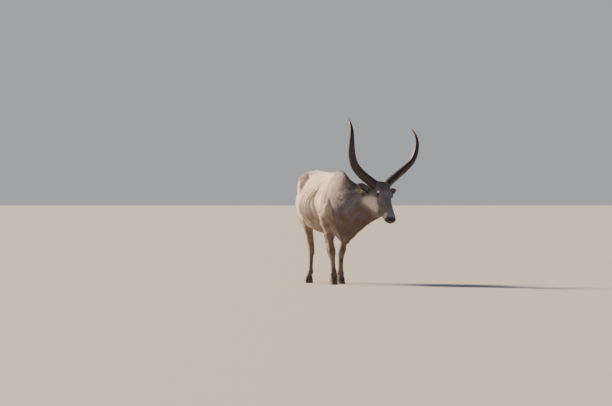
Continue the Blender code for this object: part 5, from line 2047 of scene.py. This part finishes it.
# Tufts of each zone: count, length, width, lift, and the lean out, back and down
ZONES = {
    "ear_edge": (1500, 0.026, 0.0026, 0.30, (0.0, 0.10, -0.45)),
    "ear_inside": (260, 0.024, 0.0022, 0.45, (0.0, -0.3, -0.3)),
    "poll": (900, 0.028, 0.0034, 0.14, (0.0, -0.5, -0.7)),
    "horn_base": (700, 0.022, 0.0034, 0.30, (0.0, 0.0, 0.0)),
    "crest": (1500, 0.020, 0.0034, 0.10, (0.0, 0.5, -0.1)),
    "dewlap": (1100, 0.018, 0.0030, 0.14, (0.0, 0.2, -0.9)),
    "belly": (1200, 0.022, 0.0034, 0.16, (0.0, 0.5, -0.5)),
    "sheath": (200, 0.042, 0.0034, 0.10, (0.0, 0.0, -1.2)),
    "leg_back": (1100, 0.014, 0.0026, 0.14, (0.0, 0.25, -0.9)),
    "fetlock": (420, 0.024, 0.0034, 0.32, (0.0, 0.3, -0.9)),
    "coronet": (1400, 0.019, 0.0030, 0.30, (0.0, 0.0, -1.0)),
    "tail": (1100, 0.026, 0.0036, 0.16, (0.0, 0.0, -1.0)),
}
growth = zone_weights(spots - STEP, facing)
batches = []
for zone, (count, length, width, lift, lean) in ZONES.items():
    roots, normals, uvs = surface_sample(skin, growth[zone] * (1 - bare), count, random)
    hair = lie_of(roots - STEP) + np.array(lean)
    arrays = tuft_arrays(roots, normals, uvs, hair, length, width, lift, random, FRINGE_STEPS,
                         FRINGE_SWAY)
    batches.append((arrays, roots, normals))
tuft_piece("coat_fringes", batches, random)

# %% [markdown]
# ## Lashes
# The upper lid has long straight lashes that point out, forwards and down. Their roots are on
# the edge of the slit, worked out as the lid was, and each takes the unwrap's place of the
# skin's nearest point.

# %% Lashes
LASHES = 34
# The length, width and lift of a lash, and how far along the slit they stand
LASH = (0.017, 0.0011, 0.55)
LASH_RANGE = (-0.68, 0.60)
LASH_ABOVE = 0.03
LASH_SWAY = 0.1
LASH_FAN = 0.8
LASH_UP = 0.25

skin_tree = KDTree(len(spots))
for k, spot in enumerate(spots):
    skin_tree.insert(spot, k)
skin_tree.balance()
corner_points = np.empty(len(skin.data.loops), int)
skin.data.loops.foreach_get("vertex_index", corner_points)
corner_uvs = np.empty(len(skin.data.loops) * 2)
skin.data.uv_layers["OFBake"].data.foreach_get("uv", corner_uvs)
point_uvs = np.zeros((len(spots), 2))
point_uvs[corner_points] = corner_uvs.reshape(-1, 2)
head_turn = np.array(HEAD_AXES)[:3, :3] * (1, -1, 1)
batches = []
for side in (-1, 1):
    along_slit, above, outward = lid_axes(side)
    a = np.linspace(*LASH_RANGE, LASHES)[:, None]
    b = SLIT_UP * (1 - (a / SLIT_LONG) ** 2) ** SLIT_FULL + LASH_ABOVE
    c = np.sqrt(1 - a * a - b * b)
    aims = a * along_slit + b * above + c * outward
    rooted = (eye_spot * (side, 1, 1) + aims * (EYE_RADIUS + LID_THICK)) @ head_turn.T
    roots = rooted + np.array(HEAD_AXES.translation) + STEP
    hair = (outward + LASH_FAN * a * along_slit + LASH_UP * above) @ head_turn.T
    normals = np.tile((above - 0.4 * outward) @ head_turn.T, (LASHES, 1))
    uvs = point_uvs[[skin_tree.find(root)[1] for root in roots]]
    arrays = tuft_arrays(roots, normals, uvs, hair, *LASH, random, FRINGE_STEPS, LASH_SWAY)
    batches.append((arrays, roots, normals))
tuft_piece("lashes", batches, random)

# %% [markdown]
# ## Tail switch
# The tail ends in a switch of long coarse hair. A real one is hair all through. Here a slim
# core, whose top starts inside the tail, fills its middle, and long thin locks that hang from
# all over the core hide it. They stand thicker near its top.

# %% Tail switch
SWITCH = in_metres([
    (46, 864, 600, 10, 10),
    (46, 864, 568, 20.5, 21.5),
    (45, 865, 480, 24, 31),
    (44, 868, 390, 19, 25),
    (43, 870, 322, 6, 7),
])
SWITCH_LOCKS = 520
SWITCH_STEPS = (0.0, 0.15, 0.30, 0.45, 0.60, 0.75, 0.90)
SWITCH_END_Z = 0.316
LOCK_WIDTH = 0.0070
CORE_RINGS, CORE_SIDES = 90, 40
LOCK_LIE = (0.0, 0.02, -1.0)
LOCK_LIFT = 0.05
LOCK_SWAY = 0.05
LOCK_LONGEST = 0.24
LOCK_SHORTEST = 0.03
# Where the locks get thicker towards the top
SWITCH_TOP = (0.52, 0.57)
SWITCH_MARGIN = 0.004

core = sweep("tail_switch_core", SWITCH, CORE_RINGS, CORE_SIDES, Vector((1, 0, 0)))
core.data.transform(Matrix.Translation(SHIFT))
unwrap(core, SWITCH_MARGIN)
core.data.shade_smooth()
points, facing = read_points(core)
sides_only = np.clip(1 - np.abs(facing[:, 2]), 0, 1) * (1 + 3 * rise(points[:, 2], *SWITCH_TOP))
roots, normals, uvs = surface_sample(core, sides_only, SWITCH_LOCKS, random)
normals[:, 2] = 0
normals /= np.linalg.norm(normals, axis=1)[:, None]
hang = np.tile(LOCK_LIE, (SWITCH_LOCKS, 1))
long = np.clip(roots[:, 2] - SWITCH_END_Z, LOCK_SHORTEST, LOCK_LONGEST) / LENGTHS[1]
points, triangles, patches, shares = tuft_arrays(
    roots, normals, uvs, hang, long, LOCK_WIDTH, LOCK_LIFT, random, SWITCH_STEPS, LOCK_SWAY)
locks_piece = mesh_from_arrays("tail_switch_locks", points, triangles, patches)
each = len(points) // SWITCH_LOCKS
tints = random.uniform(0.0, 1.0, SWITCH_LOCKS).repeat(each)
keep_vectors(locks_piece, "lock", np.column_stack([tints, shares, shares * 0]))
keep_vectors(core, "lock", np.zeros((len(core.data.vertices), 3)))
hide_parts("tail_switch")
print("switch locks:", SWITCH_LOCKS, "triangles:", len(triangles))

# %% [markdown]
# Tail hair is coarse, 0.1 mm thick, and nearly straight. It has a dull gloss and bleaches to brown at its
# ends, which here is drawn as whole locks browner than others at random. The strands are drawn about 1 mm
# wide, so that they show.

# %% Tail hair material
HAIR_DARK = colour("2c221d")
HAIR_BROWN = colour("4d3c30")
STRANDS_PER_METRE = 900.0

tail_hair, tree, shader = new_material("coarse_tail_hair")
place = node(tree, "TexCoord").outputs["Object"]
long_place = node(tree, "Mapping", {"Scale": (1.0, 1.0, 0.06)}, {"Vector": place})
strands = node(tree, "TexNoise", {"Scale": STRANDS_PER_METRE, "Detail": 3.0}, {"Vector": long_place})
lock = node(tree, "Attribute", {"attribute_name": "lock"}).outputs["Vector"]
tint = node(tree, "SeparateXYZ", links={"Vector": lock}).outputs["X"]
mixed = node(tree, "Math", {"operation": "MULTIPLY_ADD", 1: 0.5}, {0: tint, 2: strands})
brown = node(tree, "MapRange", {"From Min": 0.45, "From Max": 1.10}, {"Value": mixed})
paint = node(tree, "Mix", {"data_type": "RGBA", 6: HAIR_DARK, 7: HAIR_BROWN}, {"Factor": brown})
strand_bump = node(tree, "Bump", {"Strength": 0.6, "Distance": 0.001}, {"Height": strands})
adjust(shader, {"Roughness": 0.48}, {"Base Color": paint, "Normal": strand_bump})
for piece in (core, locks_piece):
    piece.data.materials.append(tail_hair)
    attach(piece, "root")
print("tail hair nodes:", len(tree.nodes))

# %% [markdown]
# ## Sizes
# The box of the solids and the box of the dressed model are both printed. The dressed model may stand only a
# little proud of the solids. Nothing here moves, so every piece rides on the one body.

# %% Sizes and finish
VISUAL_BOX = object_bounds()
for name, box in (("solids", CAD_BOX), ("dressed", VISUAL_BOX)):
    print(name, [round(high - low, 4) for low, high in zip(*box)])
